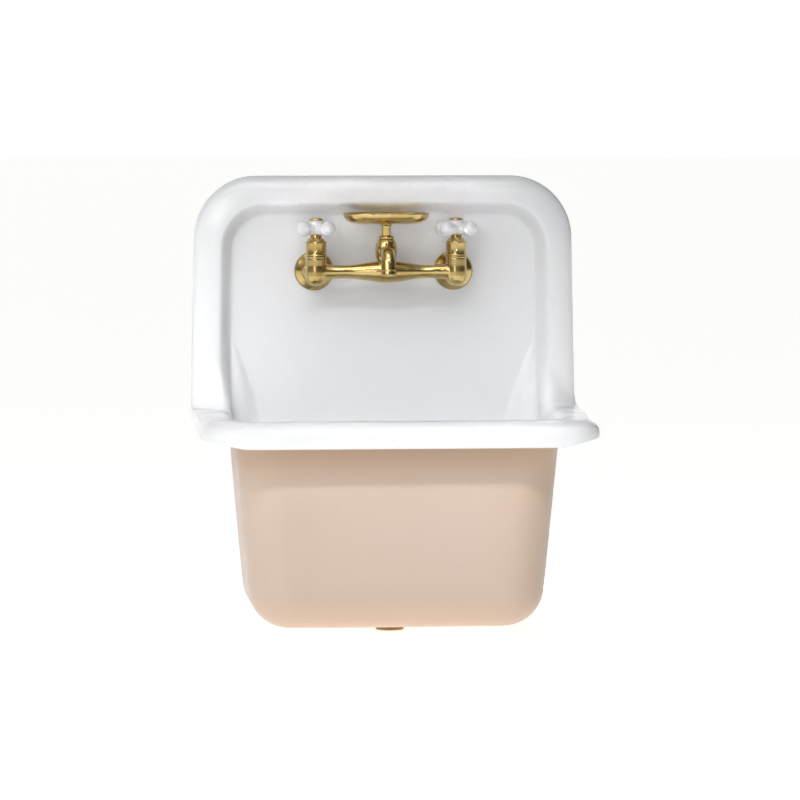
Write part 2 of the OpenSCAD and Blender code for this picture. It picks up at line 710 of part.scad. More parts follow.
// Handle: a porcelain cross on a brass insert, held by a screw under a brass button
module handle_arm() rotate([0, 90, 0]) turned(concat([[0, -bulb_reach - bulb_r]],
    [for (a = [-75:15:45]) [bulb_r * cos(a), -bulb_reach + bulb_r * sin(a)]],
    [[waist_r, -waist_x], [waist_root_r, -boss_r / 2], [waist_root_r, boss_r / 2], [waist_r, waist_x]],
    [for (a = [-45:15:75]) [bulb_r * cos(a), bulb_reach + bulb_r * sin(a)]],
    [[0, bulb_reach + bulb_r]]));
module handle(side, turn) color("white") at_valve(side) difference() {
    union() {
        for (a = [0, 90]) translate([0, 0, handle_z]) rotate(turn + a) handle_arm();
        turned([[0, skirt_z + skirt_t], [boss_foot_r, skirt_z + skirt_t],
            [(boss_r + boss_foot_r) / 2 + 0.7, (skirt_z + handle_z) / 2], [boss_r, handle_z],
            [boss_r - 0.4, (handle_z + hub_top) / 2 + 1], [button_r, hub_top], [0, hub_top]]);
    }
    rod(skirt_r + fix_fit, gland_top, skirt_z + skirt_t);
    rod(insert_r + fix_fit, skirt_z, hub_top - button_socket);
    rod(button_spigot_r, hub_top - button_socket - 1, hub_top + past);
}
module handle_insert(side) color("darkgoldenrod") at_valve(side) difference() {
    union() {
        rod(skirt_r, skirt_z, skirt_z + skirt_t);
        rod(insert_r, skirt_z + skirt_t - 1, stem_top + insert_roof);
    }
    rod(stem_r + fix_fit, skirt_z - past, stem_top);
    rod(screw_shank_r + fix_fit, stem_top - 1, stem_top + past);
}
module handle_screw(side) color("silver") at_valve(side) translate([0, 0, stem_top + insert_roof])
    screw(screw_head_r, screw_head_t, screw_shank_r - 0.1, screw_shank_l);
module button(side) color("goldenrod") at_valve(side) {
    turned([[0, button_z], [button_r - 0.4, button_z], [button_r, button_z + button_t * 0.2],
        [button_r - 0.6, button_z + button_t * 0.6], [button_r * 0.62, button_z + button_t],
        [0, button_z + button_t]]);
    tube(button_spigot_r - fix_fit, button_spigot_r - 2, hub_top - button_socket, button_z + 0.5);
}

// Spout: an egg-shaped hub on the spigot with a short bent nozzle
module nozzle(r, start, step) {
    translate([0, -start, leg_z]) rotate([90, 0, 0]) rotate(40)
        cylinder(r = r + step, h = spout_reach - elbow_r - start + step);
    translate([0, elbow_r - spout_reach, leg_z - elbow_r]) rotate([0, 90, 0]) rotate([0, 0, 180])
        rotate_extrude(angle = 90 - spout_lean) translate([elbow_r, 0]) circle(r = r);
}
module at_outlet() translate([0, elbow_r - spout_reach, leg_z - elbow_r]) rotate([-spout_lean, 0, 0])
    translate([0, -elbow_r, 0]) children();
module spout() color("goldenrod") at_bridge() difference() {
    union() {
        turned([[0, hub_z], [hub_foot_r - 1, hub_z], [hub_foot_r, hub_z + 2],
            [hub_r - 0.4, hub_z + hub_h * 0.29], [hub_r, hub_z + hub_h * 0.51],
            [hub_r - 0.6, hub_z + hub_h * 0.7], [hub_r - 2.2, hub_z + hub_h * 0.86],
            [cap_r + 0.6, hub_top_z], [0, hub_top_z]]);
        difference() {
            nozzle(nozzle_r, 1, 0.5);
            rod(belly_r, belly_z, hub_z + 0.01);
        }
        at_outlet() rod(nozzle_r + collar_step, -collar_l, 1);
    }
    rod(spigot_r + run_fit, hub_z - past, hub_top_z + past);
    rod(spigot_r + gallery_w, port_z - port_r - 1, port_z + port_r + 1);
    nozzle(outlet_bore, spigot_r, 0.3);
    at_outlet() rod(outlet_r_end, -collar_l - past, 1);
}
module spout_o_rings() color("dimgray") at_bridge() for (z = ring_z) translate([0, 0, z])
    rotate_extrude() translate([spigot_r - ring_r + run_fit / 2, 0]) circle(r = ring_r - run_fit);
module spout_cap() color("gold") at_bridge() difference() {
    turned([[0, spigot_top], [cap_r, spigot_top], [cap_r, spigot_top + cap_t * 0.7],
        [cap_r * 0.87, post_z], [0, post_z]]);
    rod(tail_screw_r + fix_fit, spigot_top - past, post_z + past);
}
module aerator_housing() color("gold") at_bridge() at_outlet() difference() {
    rod(aerator_r, -collar_l - aerator_l, -collar_l);
    rod(aerator_bore, -collar_l - aerator_l - past, -collar_l - aerator_roof);
    rod(outlet_r_end, -collar_l - aerator_roof - 1, -collar_l + past);
}
// The screen has a ring of 6 holes inside a ring of 12
module aerator_screen() color("silver") at_bridge() at_outlet() translate([0, 0, -screen_low]) difference() {
    rod(aerator_bore - fix_fit, 0, screen_t);
    for (a = [0:60:300]) rotate(a) translate([screen_ring[0], 0, 0]) rod(screen_hole_r, -1, screen_t + 1);
    for (a = [0:30:330]) rotate(a) translate([screen_ring[1], 0, 0]) rod(screen_hole_r, -1, screen_t + 1);
}

// Soap dish: a boat-shaped tray with round ends on a post
floor_t = dish_t + 0.4;
dish_side = dish_w / 2;
// The section's outside and inside, from the middle of the floor to the brim
dish_outer = [[0, 0], [dish_side * 0.42, 0], [dish_side * 0.68, dish_h * 0.09],
    [dish_side * 0.87, dish_h * 0.3], [dish_side * 0.97, dish_h * 0.61], [dish_side, dish_h * 0.87],
    [dish_side * 0.99, dish_h * 0.97], [dish_side * 0.97, dish_h]];
dish_inner = [[dish_side - dish_t - 0.2, dish_h], [dish_side * 0.97 - dish_t, dish_h * 0.63],
    [dish_side * 0.87 - dish_t, dish_h * 0.37], [dish_side * 0.68 - dish_t, dish_h * 0.2],
    [dish_side * 0.45 - dish_t, floor_t], [0, floor_t]];
module dish_solid() {
    for (a = [0, 1]) mirror([a, 0, 0]) translate([(dish_l - dish_w) / 2, 0, 0]) rotate(-90)
        rotate_extrude(angle = 180) polygon(concat(dish_outer, dish_inner));
    for (a = [0, 1]) mirror([0, a, 0]) translate([-(dish_l - dish_w) / 2, 0, 0]) rotate([90, 0, 90])
        linear_extrude(dish_l - dish_w) polygon(concat(dish_outer, dish_inner));
}
module soap_dish() color("goldenrod") at_bridge() translate([0, 0, dish_z]) difference() {
    dish_solid();
    rod(screw_shank_r + fix_fit, -1, dish_h);
}
// The post's foot screws into the spigot and its head flares under the dish
flare = 3;
flare_edge = 1;
module soap_dish_post() color("goldenrod") at_bridge() difference() {
    union() {
        rod(tail_screw_r, port_z + 2 * port_r + 2, post_z + 1);
        rod(post_r, post_z, dish_z);
        turned([[0, dish_z - flare], [post_r, dish_z - flare], [post_r + flare, dish_z - flare_edge],
            [post_r + flare, dish_z], [0, dish_z]]);
    }
    rod(screw_shank_r, dish_z - screw_shank_l, dish_z + 1);
}
module dish_screw() color("gold") at_bridge() translate([0, 0, dish_z + floor_t])
    screw(screw_head_r, 1.6, screw_shank_r - 0.1, screw_shank_l);

basin();
wall_hanger();
drain_gasket();
strainer_body();
strainer_grid();
strainer_screw();
drain_washer();
friction_washer();
drain_locknut();
faucet_body();
gasket(-1);  // hot_gasket
escutcheon(-1);  // hot_escutcheon
shank(-1);  // hot_shank
union_nut(-1);  // hot_union_nut
shank_washer(-1);  // hot_shank_washer
shank_locknut(-1);  // hot_shank_locknut
gasket(1);  // cold_gasket
escutcheon(1);  // cold_escutcheon
shank(1);  // cold_shank
union_nut(1);  // cold_union_nut
shank_washer(1);  // cold_shank_washer
shank_locknut(1);  // cold_shank_locknut
union_washers();
seat_seal(-1);  // hot_seat_seal
cartridge(-1);  // hot_cartridge
fixed_disc(-1);  // hot_fixed_disc
moving_disc(-1);  // hot_moving_disc
stem(-1);  // hot_stem
bonnet(-1);  // hot_bonnet
handle(-1, hot_turn);  // hot_handle
handle_insert(-1);  // hot_handle_insert
handle_screw(-1);  // hot_handle_screw
button(-1);  // hot_button
seat_seal(1);  // cold_seat_seal
cartridge(1);  // cold_cartridge
fixed_disc(1);  // cold_fixed_disc
moving_disc(1);  // cold_moving_disc
stem(1);  // cold_stem
bonnet(1);  // cold_bonnet
handle(1, cold_turn);  // cold_handle
handle_insert(1);  // cold_handle_insert
handle_screw(1);  // cold_handle_screw
button(1);  // cold_button
spout();
spout_o_rings();
spout_cap();
aerator_housing();
aerator_screen();
soap_dish_post();
soap_dish();
dish_screw();
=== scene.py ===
# %% [markdown]
# # A wall-hung washbasin
# The solid model gives the size, the place and the motion of every piece of this basin. This lesson
# dresses it: cast enamel, satin brass and porcelain are modelled as meshes that fit over those solids.
# The scene is in metres. Sizes are typed in millimetres and multiplied by MM where a mesh is made.

# %% Start from the frame
import json
import math
import bmesh
import bpy
from mathutils import Matrix, Vector, noise


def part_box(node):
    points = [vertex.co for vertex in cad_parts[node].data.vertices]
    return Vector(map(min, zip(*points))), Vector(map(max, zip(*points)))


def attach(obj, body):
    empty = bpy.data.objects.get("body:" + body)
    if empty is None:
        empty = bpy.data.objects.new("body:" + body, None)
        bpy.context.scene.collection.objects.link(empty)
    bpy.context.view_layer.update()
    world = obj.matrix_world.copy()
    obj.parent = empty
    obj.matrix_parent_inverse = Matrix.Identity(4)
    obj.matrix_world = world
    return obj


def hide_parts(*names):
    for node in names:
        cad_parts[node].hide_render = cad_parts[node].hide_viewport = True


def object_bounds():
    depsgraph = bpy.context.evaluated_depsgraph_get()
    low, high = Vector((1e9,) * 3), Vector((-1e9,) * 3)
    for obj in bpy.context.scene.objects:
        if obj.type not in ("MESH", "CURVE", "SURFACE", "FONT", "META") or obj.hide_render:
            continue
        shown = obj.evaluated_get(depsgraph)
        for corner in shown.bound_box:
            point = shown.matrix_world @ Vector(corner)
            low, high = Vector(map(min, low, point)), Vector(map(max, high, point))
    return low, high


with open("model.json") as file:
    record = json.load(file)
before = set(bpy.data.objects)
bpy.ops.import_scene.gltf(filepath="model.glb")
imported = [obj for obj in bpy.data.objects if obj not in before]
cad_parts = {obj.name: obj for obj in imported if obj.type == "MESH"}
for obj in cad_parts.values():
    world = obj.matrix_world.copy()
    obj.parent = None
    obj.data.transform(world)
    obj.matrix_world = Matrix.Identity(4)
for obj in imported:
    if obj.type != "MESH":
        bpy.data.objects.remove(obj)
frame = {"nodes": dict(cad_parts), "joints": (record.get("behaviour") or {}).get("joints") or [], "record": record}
cad_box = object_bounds()
MM = 0.001
joints = {joint["name"]: joint for joint in frame["joints"]}

# %% [markdown]
# ## The camera
# The picture was taken with a long lens from about seven metres away, a little above the rim. A lens
# that long keeps upright edges upright. The place and the turn below follow from the faucet's known
# spacing and the slopes of the rim.

# %% Camera
CAMERA_PLACE = (-0.6182, -7.0, 0.2353)
CAMERA_YAW = 0.0918
CAMERA_PITCH = 0.0673
CAMERA_ROLL = 0.0003
FRAME_PIXELS = 800
FOCAL_PIXELS = 4819.06

camera_data = bpy.data.cameras.new("camera")
camera_data.sensor_width = 36
camera_data.lens = FOCAL_PIXELS / FRAME_PIXELS * camera_data.sensor_width
camera_data.clip_end = 100
camera = bpy.data.objects.new("camera", camera_data)
camera.location = CAMERA_PLACE
camera.rotation_euler = (math.pi / 2 - CAMERA_PITCH, CAMERA_ROLL, -CAMERA_YAW)
bpy.context.scene.collection.objects.link(camera)
bpy.context.scene.camera = camera
print("lens", round(camera_data.lens, 1), "mm")

# %% [markdown]
# ## The studio
# Glossy enamel and brass show what stands around them, so the surroundings are part of the finish. The
# sky is painted by direction alone: white behind the basin, dimmer on the photographer's side, with a
# dark band at eye level that gives the brass its depth. Soft lamps add the highlights.

# %% Node helpers
def node_value(tree, operation, first, second):
    """A Math node with two inputs, each a number or a socket."""
    node = tree.nodes.new("ShaderNodeMath")
    node.operation = operation
    for socket, value in zip(node.inputs, (first, second)):
        if isinstance(value, bpy.types.NodeSocket):
            tree.links.new(value, socket)
        else:
            socket.default_value = value
    return node.outputs[0]


def map_range(tree, value, low, high, to_low, to_high):
    """A smooth step that turns low to high into to_low to to_high."""
    node = tree.nodes.new("ShaderNodeMapRange")
    node.interpolation_type = "SMOOTHSTEP"
    tree.links.new(value, node.inputs["Value"])
    for name, number in (("From Min", low), ("From Max", high), ("To Min", to_low), ("To Max", to_high)):
        node.inputs[name].default_value = number
    return node.outputs["Result"]


# %% [markdown]
# ### The sky
# A white card behind a real basin lights the edges of its rolls and leaves its face alone. The sky does
# the same from its direction: X is right, Y is away from the camera and Z is up. Its back is white near
# the horizon and dim to the right. Its front gives a weak light from above and from the left, over a
# dark band at eye level. The brighter of the two wins, so neither washes out the other.

# %% World
WARM_WHITE = (1.0, 0.995, 0.985)
BASE_LIGHT = 0.20

world = bpy.data.worlds.new("studio")
bpy.context.scene.world = world
world.use_nodes = True
sky = world.node_tree
sky_direction = sky.nodes.new("ShaderNodeTexCoord").outputs["Generated"]
sky_axes = sky.nodes.new("ShaderNodeSeparateXYZ")
sky.links.new(sky_direction, sky_axes.inputs[0])
right, back, up = (sky_axes.outputs[axis] for axis in "XYZ")
height = node_value(sky, "ABSOLUTE", up, 0)

behind = map_range(sky, back, 0.4, 0.95, 0.0, 1.05)
near_horizon = map_range(sky, height, 0.06, 0.35, 1.0, 0.25)
off_right = map_range(sky, right, 0.18, 0.42, 1.0, 0.12)
back_light = node_value(sky, "MULTIPLY", node_value(sky, "MULTIPLY", behind, near_horizon), off_right)

overhead = map_range(sky, up, 0.15, 0.8, 0.0, 0.12)
leftwards = map_range(sky, right, -0.8, 0.5, 0.08, 0.0)
dark_band = map_range(sky, height, 0.05, 0.4, 0.4, 1.0)
dim_right = map_range(sky, right, 0.1, 0.8, 1.0, 0.3)
front_light = node_value(sky, "ADD", node_value(sky, "ADD", overhead, leftwards), BASE_LIGHT)
front_light = node_value(sky, "MULTIPLY", node_value(sky, "MULTIPLY", front_light, dark_band), dim_right)

sky_colour = sky.nodes["Background"]
sky_colour.inputs["Color"].default_value = (*WARM_WHITE, 1)
sky.links.new(node_value(sky, "MAXIMUM", front_light, back_light), sky_colour.inputs["Strength"])
print("world nodes", len(sky.nodes))

# %% [markdown]
# ### Lamps
# A studio would light this basin with cloth boxes, and an area lamp is such a box. A wide one stands for
# a window on the left, one hangs above and one fills from the front. Three narrow ones look over the
# rim at the foot of the panel. They stand apart so that the spout casts three faint shadows where one
# lamp would cast a dark one. The last one reaches the cove behind the soap dish. A small spread keeps
# each beam off everything else, as a grid on a real lamp does.

# %% Lamps
WIDE_SPREAD = 180
BOWL_SPREAD = 10
COVE_SPREAD = 3
BOWL_LIGHT_X = (-1.2, -0.4, 0.4)


def softbox(name, place, aim, size, power, spread=WIDE_SPREAD):
    """An area lamp that points at aim. Size is in metres, power in watts, spread in degrees."""
    data = bpy.data.lights.new(name, "AREA")
    data.shape = "RECTANGLE"
    data.size, data.size_y = size
    data.energy = power
    data.color = WARM_WHITE
    data.spread = math.radians(spread)
    lamp = bpy.data.objects.new(name, data)
    lamp.location = place
    lamp.rotation_euler = (Vector(aim) - Vector(place)).to_track_quat("-Z", "Y").to_euler()
    bpy.context.scene.collection.objects.link(lamp)


softbox("window_light", (-2.0, -2.4, 1.2), (0, -0.2, -0.2), (2.2, 1.4), 19.5)
softbox("ceiling_light", (-0.3, -1.0, 2.2), (0, -0.2, 0), (1.8, 1.2), 13.5)
softbox("front_fill", (-1.5, -4.4, 0.9), (0, 0, -0.1), (1.4, 1.4), 16.5)
for number, x in enumerate(BOWL_LIGHT_X):
    softbox(f"bowl_light_{number}", (x, -2.0, 1.5), (0, -0.1, -0.3), (0.8, 0.3), 0.21, BOWL_SPREAD)
softbox("cove_light", (-0.2, -3.0, 0.1), (0, -0.02, 0.05), (0.3, 0.07), 0.028, COVE_SPREAD)
bpy.context.scene.view_settings.view_transform = "Standard"

# %% [markdown]
# ## The floor
# A plain pale floor lies just under the drain's end. One flat disc is enough, so wide that its edge
# passes for the horizon. It gives off light of its own, which keeps it as pale as the picture's white
# ground and lights the basin from below, as a white studio floor does.

# %% Floor
FLOOR_GAP = 0.5 * MM
FLOOR_RADIUS = 40
FLOOR_GLOW = 0.70
floor_z = cad_box[0][2] - FLOOR_GAP
bm = bmesh.new()
bmesh.ops.create_circle(bm, cap_ends=True, segments=96, radius=FLOOR_RADIUS)
bmesh.ops.translate(bm, verts=bm.verts, vec=(0, 0, floor_z))
floor_mesh = bpy.data.meshes.new("floor")
bm.to_mesh(floor_mesh)
bm.free()
floor = bpy.data.objects.new("floor", floor_mesh)
bpy.context.scene.collection.objects.link(floor)
floor_paint = bpy.data.materials.new("pale_floor")
floor_paint.use_nodes = True
floor_shader = floor_paint.node_tree.nodes["Principled BSDF"]
floor_shader.inputs["Base Color"].default_value = (0.9, 0.9, 0.89, 1)
floor_shader.inputs["Roughness"].default_value = 0.6
floor_shader.inputs["Emission Color"].default_value = (1, 1, 0.99, 1)
floor_shader.inputs["Emission Strength"].default_value = FLOOR_GLOW
floor_mesh.materials.append(floor_paint)
print("floor at", round(floor_z, 4), "m")

# %% [markdown]
# ## Finishes
# Every finish is one Principled shader whose colour, roughness and bump come from noise in Object
# coordinates. Those are metres here, because every mesh keeps its place in the frame, so a noise scale
# of 200 makes marks about five millimetres wide on every piece alike.

# %% Material helpers
def finish(name, **settings):
    """A new material with one Principled shader, and its plain socket values set by name."""
    material = bpy.data.materials.new(name)
    material.use_nodes = True
    shader = material.node_tree.nodes["Principled BSDF"]
    for key, value in settings.items():
        shader.inputs[key.replace("_", " ")].default_value = value
    return material, material.node_tree, shader


def object_noise(tree, scale, detail, stretch=(1, 1, 1)):
    """Noise in object coordinates, drawn out along the axes where stretch is small."""
    coords = tree.nodes.new("ShaderNodeTexCoord").outputs["Object"]
    mapping = tree.nodes.new("ShaderNodeMapping")
    mapping.inputs["Scale"].default_value = stretch
    tree.links.new(coords, mapping.inputs["Vector"])
    node = tree.nodes.new("ShaderNodeTexNoise")
    node.inputs["Scale"].default_value = scale
    node.inputs["Detail"].default_value = detail
    tree.links.new(mapping.outputs[0], node.inputs["Vector"])
    return node.outputs["Fac"]


def noise_step(tree, scale, detail, low, high, to_low=0, to_high=1):
    """Noise as a mask: to_low where it lies below low, to_high where it lies above high."""
    return map_range(tree, object_noise(tree, scale, detail), low, high, to_low, to_high)


def mix_colours(tree, share, first, second):
    """Blend from one colour to another; either may be a socket."""
    node = tree.nodes.new("ShaderNodeMix")
    node.data_type = "RGBA"
    tree.links.new(share, node.inputs["Factor"])
    for socket, value in ((node.inputs[6], first), (node.inputs[7], second)):
        if isinstance(value, bpy.types.NodeSocket):
            tree.links.new(value, socket)
        else:
            socket.default_value = (*value, 1)
    return node.outputs[2]


def add_bump(tree, shader, height, strength, distance):
    """Put a bump in front of the ones that the shader already has."""
    bump = tree.nodes.new("ShaderNodeBump")
    bump.inputs["Strength"].default_value = strength
    bump.inputs["Distance"].default_value = distance
    tree.links.new(height, bump.inputs["Height"])
    if shader.inputs["Normal"].links:
        tree.links.new(shader.inputs["Normal"].links[0].from_socket, bump.inputs["Normal"])
    tree.links.new(bump.outputs[0], shader.inputs["Normal"])


def connect(tree, output, shader, name):
    """Feed a socket into the shader's input of that name."""
    tree.links.new(output, shader.inputs[name])


# %% [markdown]
# ### White enamel
# Vitreous enamel is glass fused to the iron. It is glossy but never quite flat: the melt leaves slow
# waves and a faint orange peel, and its white shifts a little where the coat is thin. Three scales of
# noise do that. The finest one sets a few pinholes, where a bubble in the melt has burst.

# %% White enamel
def white_enamel():
    material, tree, shader = finish("white_enamel", Roughness=0.16, Coat_Weight=0.2,
                                    Coat_Roughness=0.05, IOR=1.52)
    patches = noise_step(tree, 7, 4, 0.35, 0.7)
    base = mix_colours(tree, patches, (0.82, 0.83, 0.85), (0.80, 0.81, 0.83))
    pits = noise_step(tree, 420, 2, 0.74, 0.80)
    connect(tree, mix_colours(tree, pits, base, (0.50, 0.47, 0.43)), shader, "Base Color")
    gloss = noise_step(tree, 30, 5, 0.3, 0.7, 0.12, 0.22)
    connect(tree, gloss, shader, "Roughness")
    add_bump(tree, shader, object_noise(tree, 18, 1), 0.2, 0.4 * MM)
    add_bump(tree, shader, object_noise(tree, 260, 3), 0.08, 0.04 * MM)
    return material


# %% [markdown]
# ### Blush paint
# The outside of the casting isn't enamelled. It has a satin paint over the sand-cast skin, so its
# bump is coarser than the enamel's, and it carries a few dark specks and pale rubbed spots. Painted
# shade darkens it to tan close under the lip, along the right side and near the foot. Those places are
# read off the piece's own X and Z, because the object keeps its place in its mesh.

# %% Blush paint
LIP_Z = -0.283
SHADE_TAN = (0.56, 0.40, 0.27)


def blush_paint():
    material, tree, shader = finish("blush_paint", IOR=1.47)
    patches = noise_step(tree, 5, 4, 0.35, 0.68)
    base = mix_colours(tree, patches, (0.655, 0.52, 0.435), (0.63, 0.495, 0.405))
    place = tree.nodes.new("ShaderNodeSeparateXYZ")
    tree.links.new(tree.nodes.new("ShaderNodeTexCoord").outputs["Object"], place.inputs[0])
    # Painted shade: the paint is darkened to tan under the lip, along the right side and near the foot.
    shade_under_lip = map_range(tree, place.outputs["Z"], LIP_Z - 0.07, LIP_Z, 0, 0.75)
    shade_right_side = map_range(tree, place.outputs["X"], 0.10, 0.25, 0, 0.6)
    shade_near_foot = map_range(tree, place.outputs["Z"], LIP_Z - 0.26, LIP_Z - 0.18, 0.45, 0)
    tone_and_shade = node_value(tree, "MAXIMUM", node_value(tree, "MAXIMUM", shade_under_lip, shade_right_side), shade_near_foot)
    base = mix_colours(tree, tone_and_shade, base, SHADE_TAN)
    specks = noise_step(tree, 130, 1.0, 0.80, 0.82)
    base = mix_colours(tree, specks, base, (0.34, 0.24, 0.19))
    rubs = noise_step(tree, 26, 6, 0.72, 0.80, 0, 0.5)
    connect(tree, mix_colours(tree, rubs, base, (0.80, 0.70, 0.62)), shader, "Base Color")
    connect(tree, noise_step(tree, 45, 4, 0.3, 0.7, 0.30, 0.44), shader, "Roughness")
    add_bump(tree, shader, object_noise(tree, 30, 3), 0.35, 0.7 * MM)
    add_bump(tree, shader, object_noise(tree, 420, 3), 0.30, 0.12 * MM)
    return material


# %% [markdown]
# ### Satin brass
# The faucet is unlacquered brass, buffed to a satin sheen and starting to tone. Slow noise shifts it
# between fresh yellow and warmer brown, fine noise breaks up the gloss, and very fine noise drawn out
# around each piece stands for the buffing lines.

# %% Brass
BUFFING = (1, 1, 12)


def brass(name, fresh, tone_and_shade, rough_low, rough_high):
    material, tree, shader = finish(name, Metallic=1.0, Coat_Weight=0.45, Coat_Roughness=0.18)
    tone = noise_step(tree, 28, 3, 0.3, 0.7)
    base = mix_colours(tree, tone, fresh, tone_and_shade)
    freckles = noise_step(tree, 420, 2, 0.72, 0.82, 0, 0.35)
    connect(tree, mix_colours(tree, freckles, base, (0.34, 0.22, 0.08)), shader, "Base Color")
    gloss = noise_step(tree, 90, 3, 0.3, 0.7, rough_low, rough_high)
    connect(tree, gloss, shader, "Roughness")
    add_bump(tree, shader, object_noise(tree, 900, 2, BUFFING), 0.05, 0.02 * MM)
    return material


# %% [markdown]
# ### Porcelain, rubber, steel and ceramic
# The small finishes follow the same pattern. Porcelain is whiter and glossier than the enamel. Rubber
# is near black with dust in it. The hanger's black paint is worn at random, and the valve discs are
# lapped until they only just shine.

# %% Small finishes
def porcelain():
    material, tree, shader = finish("porcelain", Roughness=0.08, Coat_Weight=0.6, Coat_Roughness=0.03,
                                    IOR=1.54)
    cloud = noise_step(tree, 70, 3, 0.35, 0.7)
    connect(tree, mix_colours(tree, cloud, (0.76, 0.76, 0.79), (0.70, 0.69, 0.72)), shader, "Base Color")
    connect(tree, noise_step(tree, 140, 4, 0.3, 0.7, 0.05, 0.14), shader, "Roughness")
    add_bump(tree, shader, object_noise(tree, 120, 2), 0.12, 0.12 * MM)
    return material


def two_tone(name, light, dark, scale, rough_low, rough_high, bump_scale, bump_depth, metallic=0.0):
    """A plain finish: two close colours, two roughnesses and one grain."""
    material, tree, shader = finish(name, Metallic=metallic)
    share = noise_step(tree, scale, 5, 0.35, 0.68)
    connect(tree, mix_colours(tree, share, light, dark), shader, "Base Color")
    gloss = noise_step(tree, scale * 2.3, 4, 0.3, 0.7, rough_low, rough_high)
    connect(tree, gloss, shader, "Roughness")
    add_bump(tree, shader, object_noise(tree, bump_scale, 3), 0.3, bump_depth)
    return material


ENAMEL = white_enamel()
PAINT = blush_paint()
BRASS = brass("satin_brass", (0.62, 0.465, 0.19), (0.50, 0.35, 0.11), 0.16, 0.24)
DULL_BRASS = brass("drain_brass", (0.58, 0.44, 0.22), (0.47, 0.34, 0.15), 0.28, 0.40)
PORCELAIN = porcelain()
RUBBER = two_tone("black_rubber", (0.030, 0.030, 0.031), (0.018, 0.018, 0.018), 90, 0.55, 0.8,
                  700, 0.08 * MM)
HANGER_PAINT = two_tone("hanger_paint", (0.022, 0.022, 0.024), (0.034, 0.033, 0.032), 40, 0.35, 0.55,
                        300, 0.08 * MM)
STEEL = two_tone("stainless_steel", (0.62, 0.61, 0.60), (0.50, 0.49, 0.48), 150, 0.22, 0.38,
                 900, 0.02 * MM, 1.0)
ZINC = two_tone("zinc_plate", (0.60, 0.61, 0.62), (0.45, 0.46, 0.48), 220, 0.3, 0.5,
                600, 0.03 * MM, 1.0)
CERAMIC = two_tone("valve_ceramic", (0.80, 0.79, 0.76), (0.74, 0.73, 0.70), 120, 0.18, 0.3,
                   500, 0.01 * MM)
print("materials", len(bpy.data.materials))

# %% [markdown]
# ## Mesh helpers
# Most pieces here are turned on a lathe, so the usual way to build one is a profile that is spun round
# its axis. The profile's corners are bevelled first, as a file breaks an edge, because that costs no
# extra work after the spin. A matrix then carries the finished mesh to its place, and the object itself
# stays at the origin.

# %% Helpers for turned pieces
WELD = 0.002 * MM


def spun(bm, profile, steps=64, round_by=0.0, segments=3, closed=False, place=None):
    """Spin a profile of (radius, height) points in millimetres into bm, with its corners rounded."""
    part = bmesh.new()
    verts = [part.verts.new((radius * MM, 0, height * MM)) for radius, height in profile]
    pairs = list(zip(verts, verts[1:])) + ([(verts[-1], verts[0])] if closed else [])
    for first, second in pairs:
        part.edges.new((first, second))
    corners = verts if closed else verts[1:-1]
    if round_by:
        bmesh.ops.bevel(part, geom=corners, offset=round_by * MM, offset_type="OFFSET",
                        affect="VERTICES", segments=segments, profile=0.5, material=-1,
                        clamp_overlap=True)
    bmesh.ops.spin(part, geom=part.verts[:] + part.edges[:], cent=(0, 0, 0), axis=(0, 0, 1),
                   dvec=(0, 0, 0), angle=2 * math.pi, steps=steps, use_merge=True, use_duplicate=False)
    bmesh.ops.remove_doubles(part, verts=part.verts[:], dist=WELD)
    bmesh.ops.recalc_face_normals(part, faces=part.faces[:])
    join(bm, part, place)


def join(bm, part, place=None):
    """Move a finished bmesh to its place and add it to another one."""
    if place is not None:
        part.transform(place)
    mesh = bpy.data.meshes.new("part")
    part.to_mesh(mesh)
    part.free()
    bm.from_mesh(mesh)
    bpy.data.meshes.remove(mesh)


def hex_prism(bm, across, low, high, chamfer):
    """A hexagon nut's body, with its edges bevelled. Across is half the distance between two flats."""
    corner_r = across / math.cos(math.pi / 6) * MM
    part = bmesh.new()
    bmesh.ops.create_cone(part, cap_ends=True, segments=6, radius1=corner_r, radius2=corner_r,
                          depth=(high - low) * MM)
    bmesh.ops.bevel(part, geom=part.edges[:], offset=chamfer * MM, affect="EDGES", segments=3,
                    profile=0.5, material=-1)
    bmesh.ops.rotate(part, verts=part.verts, matrix=Matrix.Rotation(math.pi / 6, 3, "Z"))
    bmesh.ops.translate(part, verts=part.verts, vec=(0, 0, (high + low) / 2 * MM))
    join(bm, part)


def prism(bm, outline, width, chamfer, x=0.0, material=0):
    """An outline of (distance from the wall, height) points, drawn out sideways about x."""
    part = bmesh.new()
    part.faces.new([part.verts.new(((x - width / 2) * MM, -y * MM, z * MM)) for y, z in outline])
    grown = bmesh.ops.extrude_face_region(part, geom=part.faces[:])["geom"]
    moved = [g for g in grown if isinstance(g, bmesh.types.BMVert)]
    bmesh.ops.translate(part, verts=moved, vec=(width * MM, 0, 0))
    bmesh.ops.recalc_face_normals(part, faces=part.faces[:])
    bmesh.ops.bevel(part, geom=part.edges[:], offset=chamfer * MM, affect="EDGES", segments=2, profile=0.5,
                    material=-1, clamp_overlap=True)
    for face in part.faces:
        face.material_index = material
    join(bm, part)


def to_mesh(bm, name):
    """Turn a bmesh into a mesh and free it."""
    mesh = bpy.data.meshes.new(name)
    bm.to_mesh(mesh)
    bm.free()
    return mesh


def make_piece(bm, name, materials, body, replaced, sharp=32):
    """Turn a bmesh into a finished piece that rides on its body."""
    dress(to_mesh(bm, name), name, materials, body, replaced, sharp)


def dress(mesh, name, materials, body, replaced, sharp=32):
    """Turn a mesh into a finished piece. Edges steeper than sharp degrees stay crisp."""
    for material in materials:
        mesh.materials.append(material)
    mesh.shade_smooth()
    mesh.set_sharp_from_angle(angle=math.radians(sharp))
    piece = bpy.data.objects.new(name, mesh)
    bpy.context.scene.collection.objects.link(piece)
    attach(piece, body)
    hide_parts(*replaced)
    print(name, len(mesh.polygons), "faces")


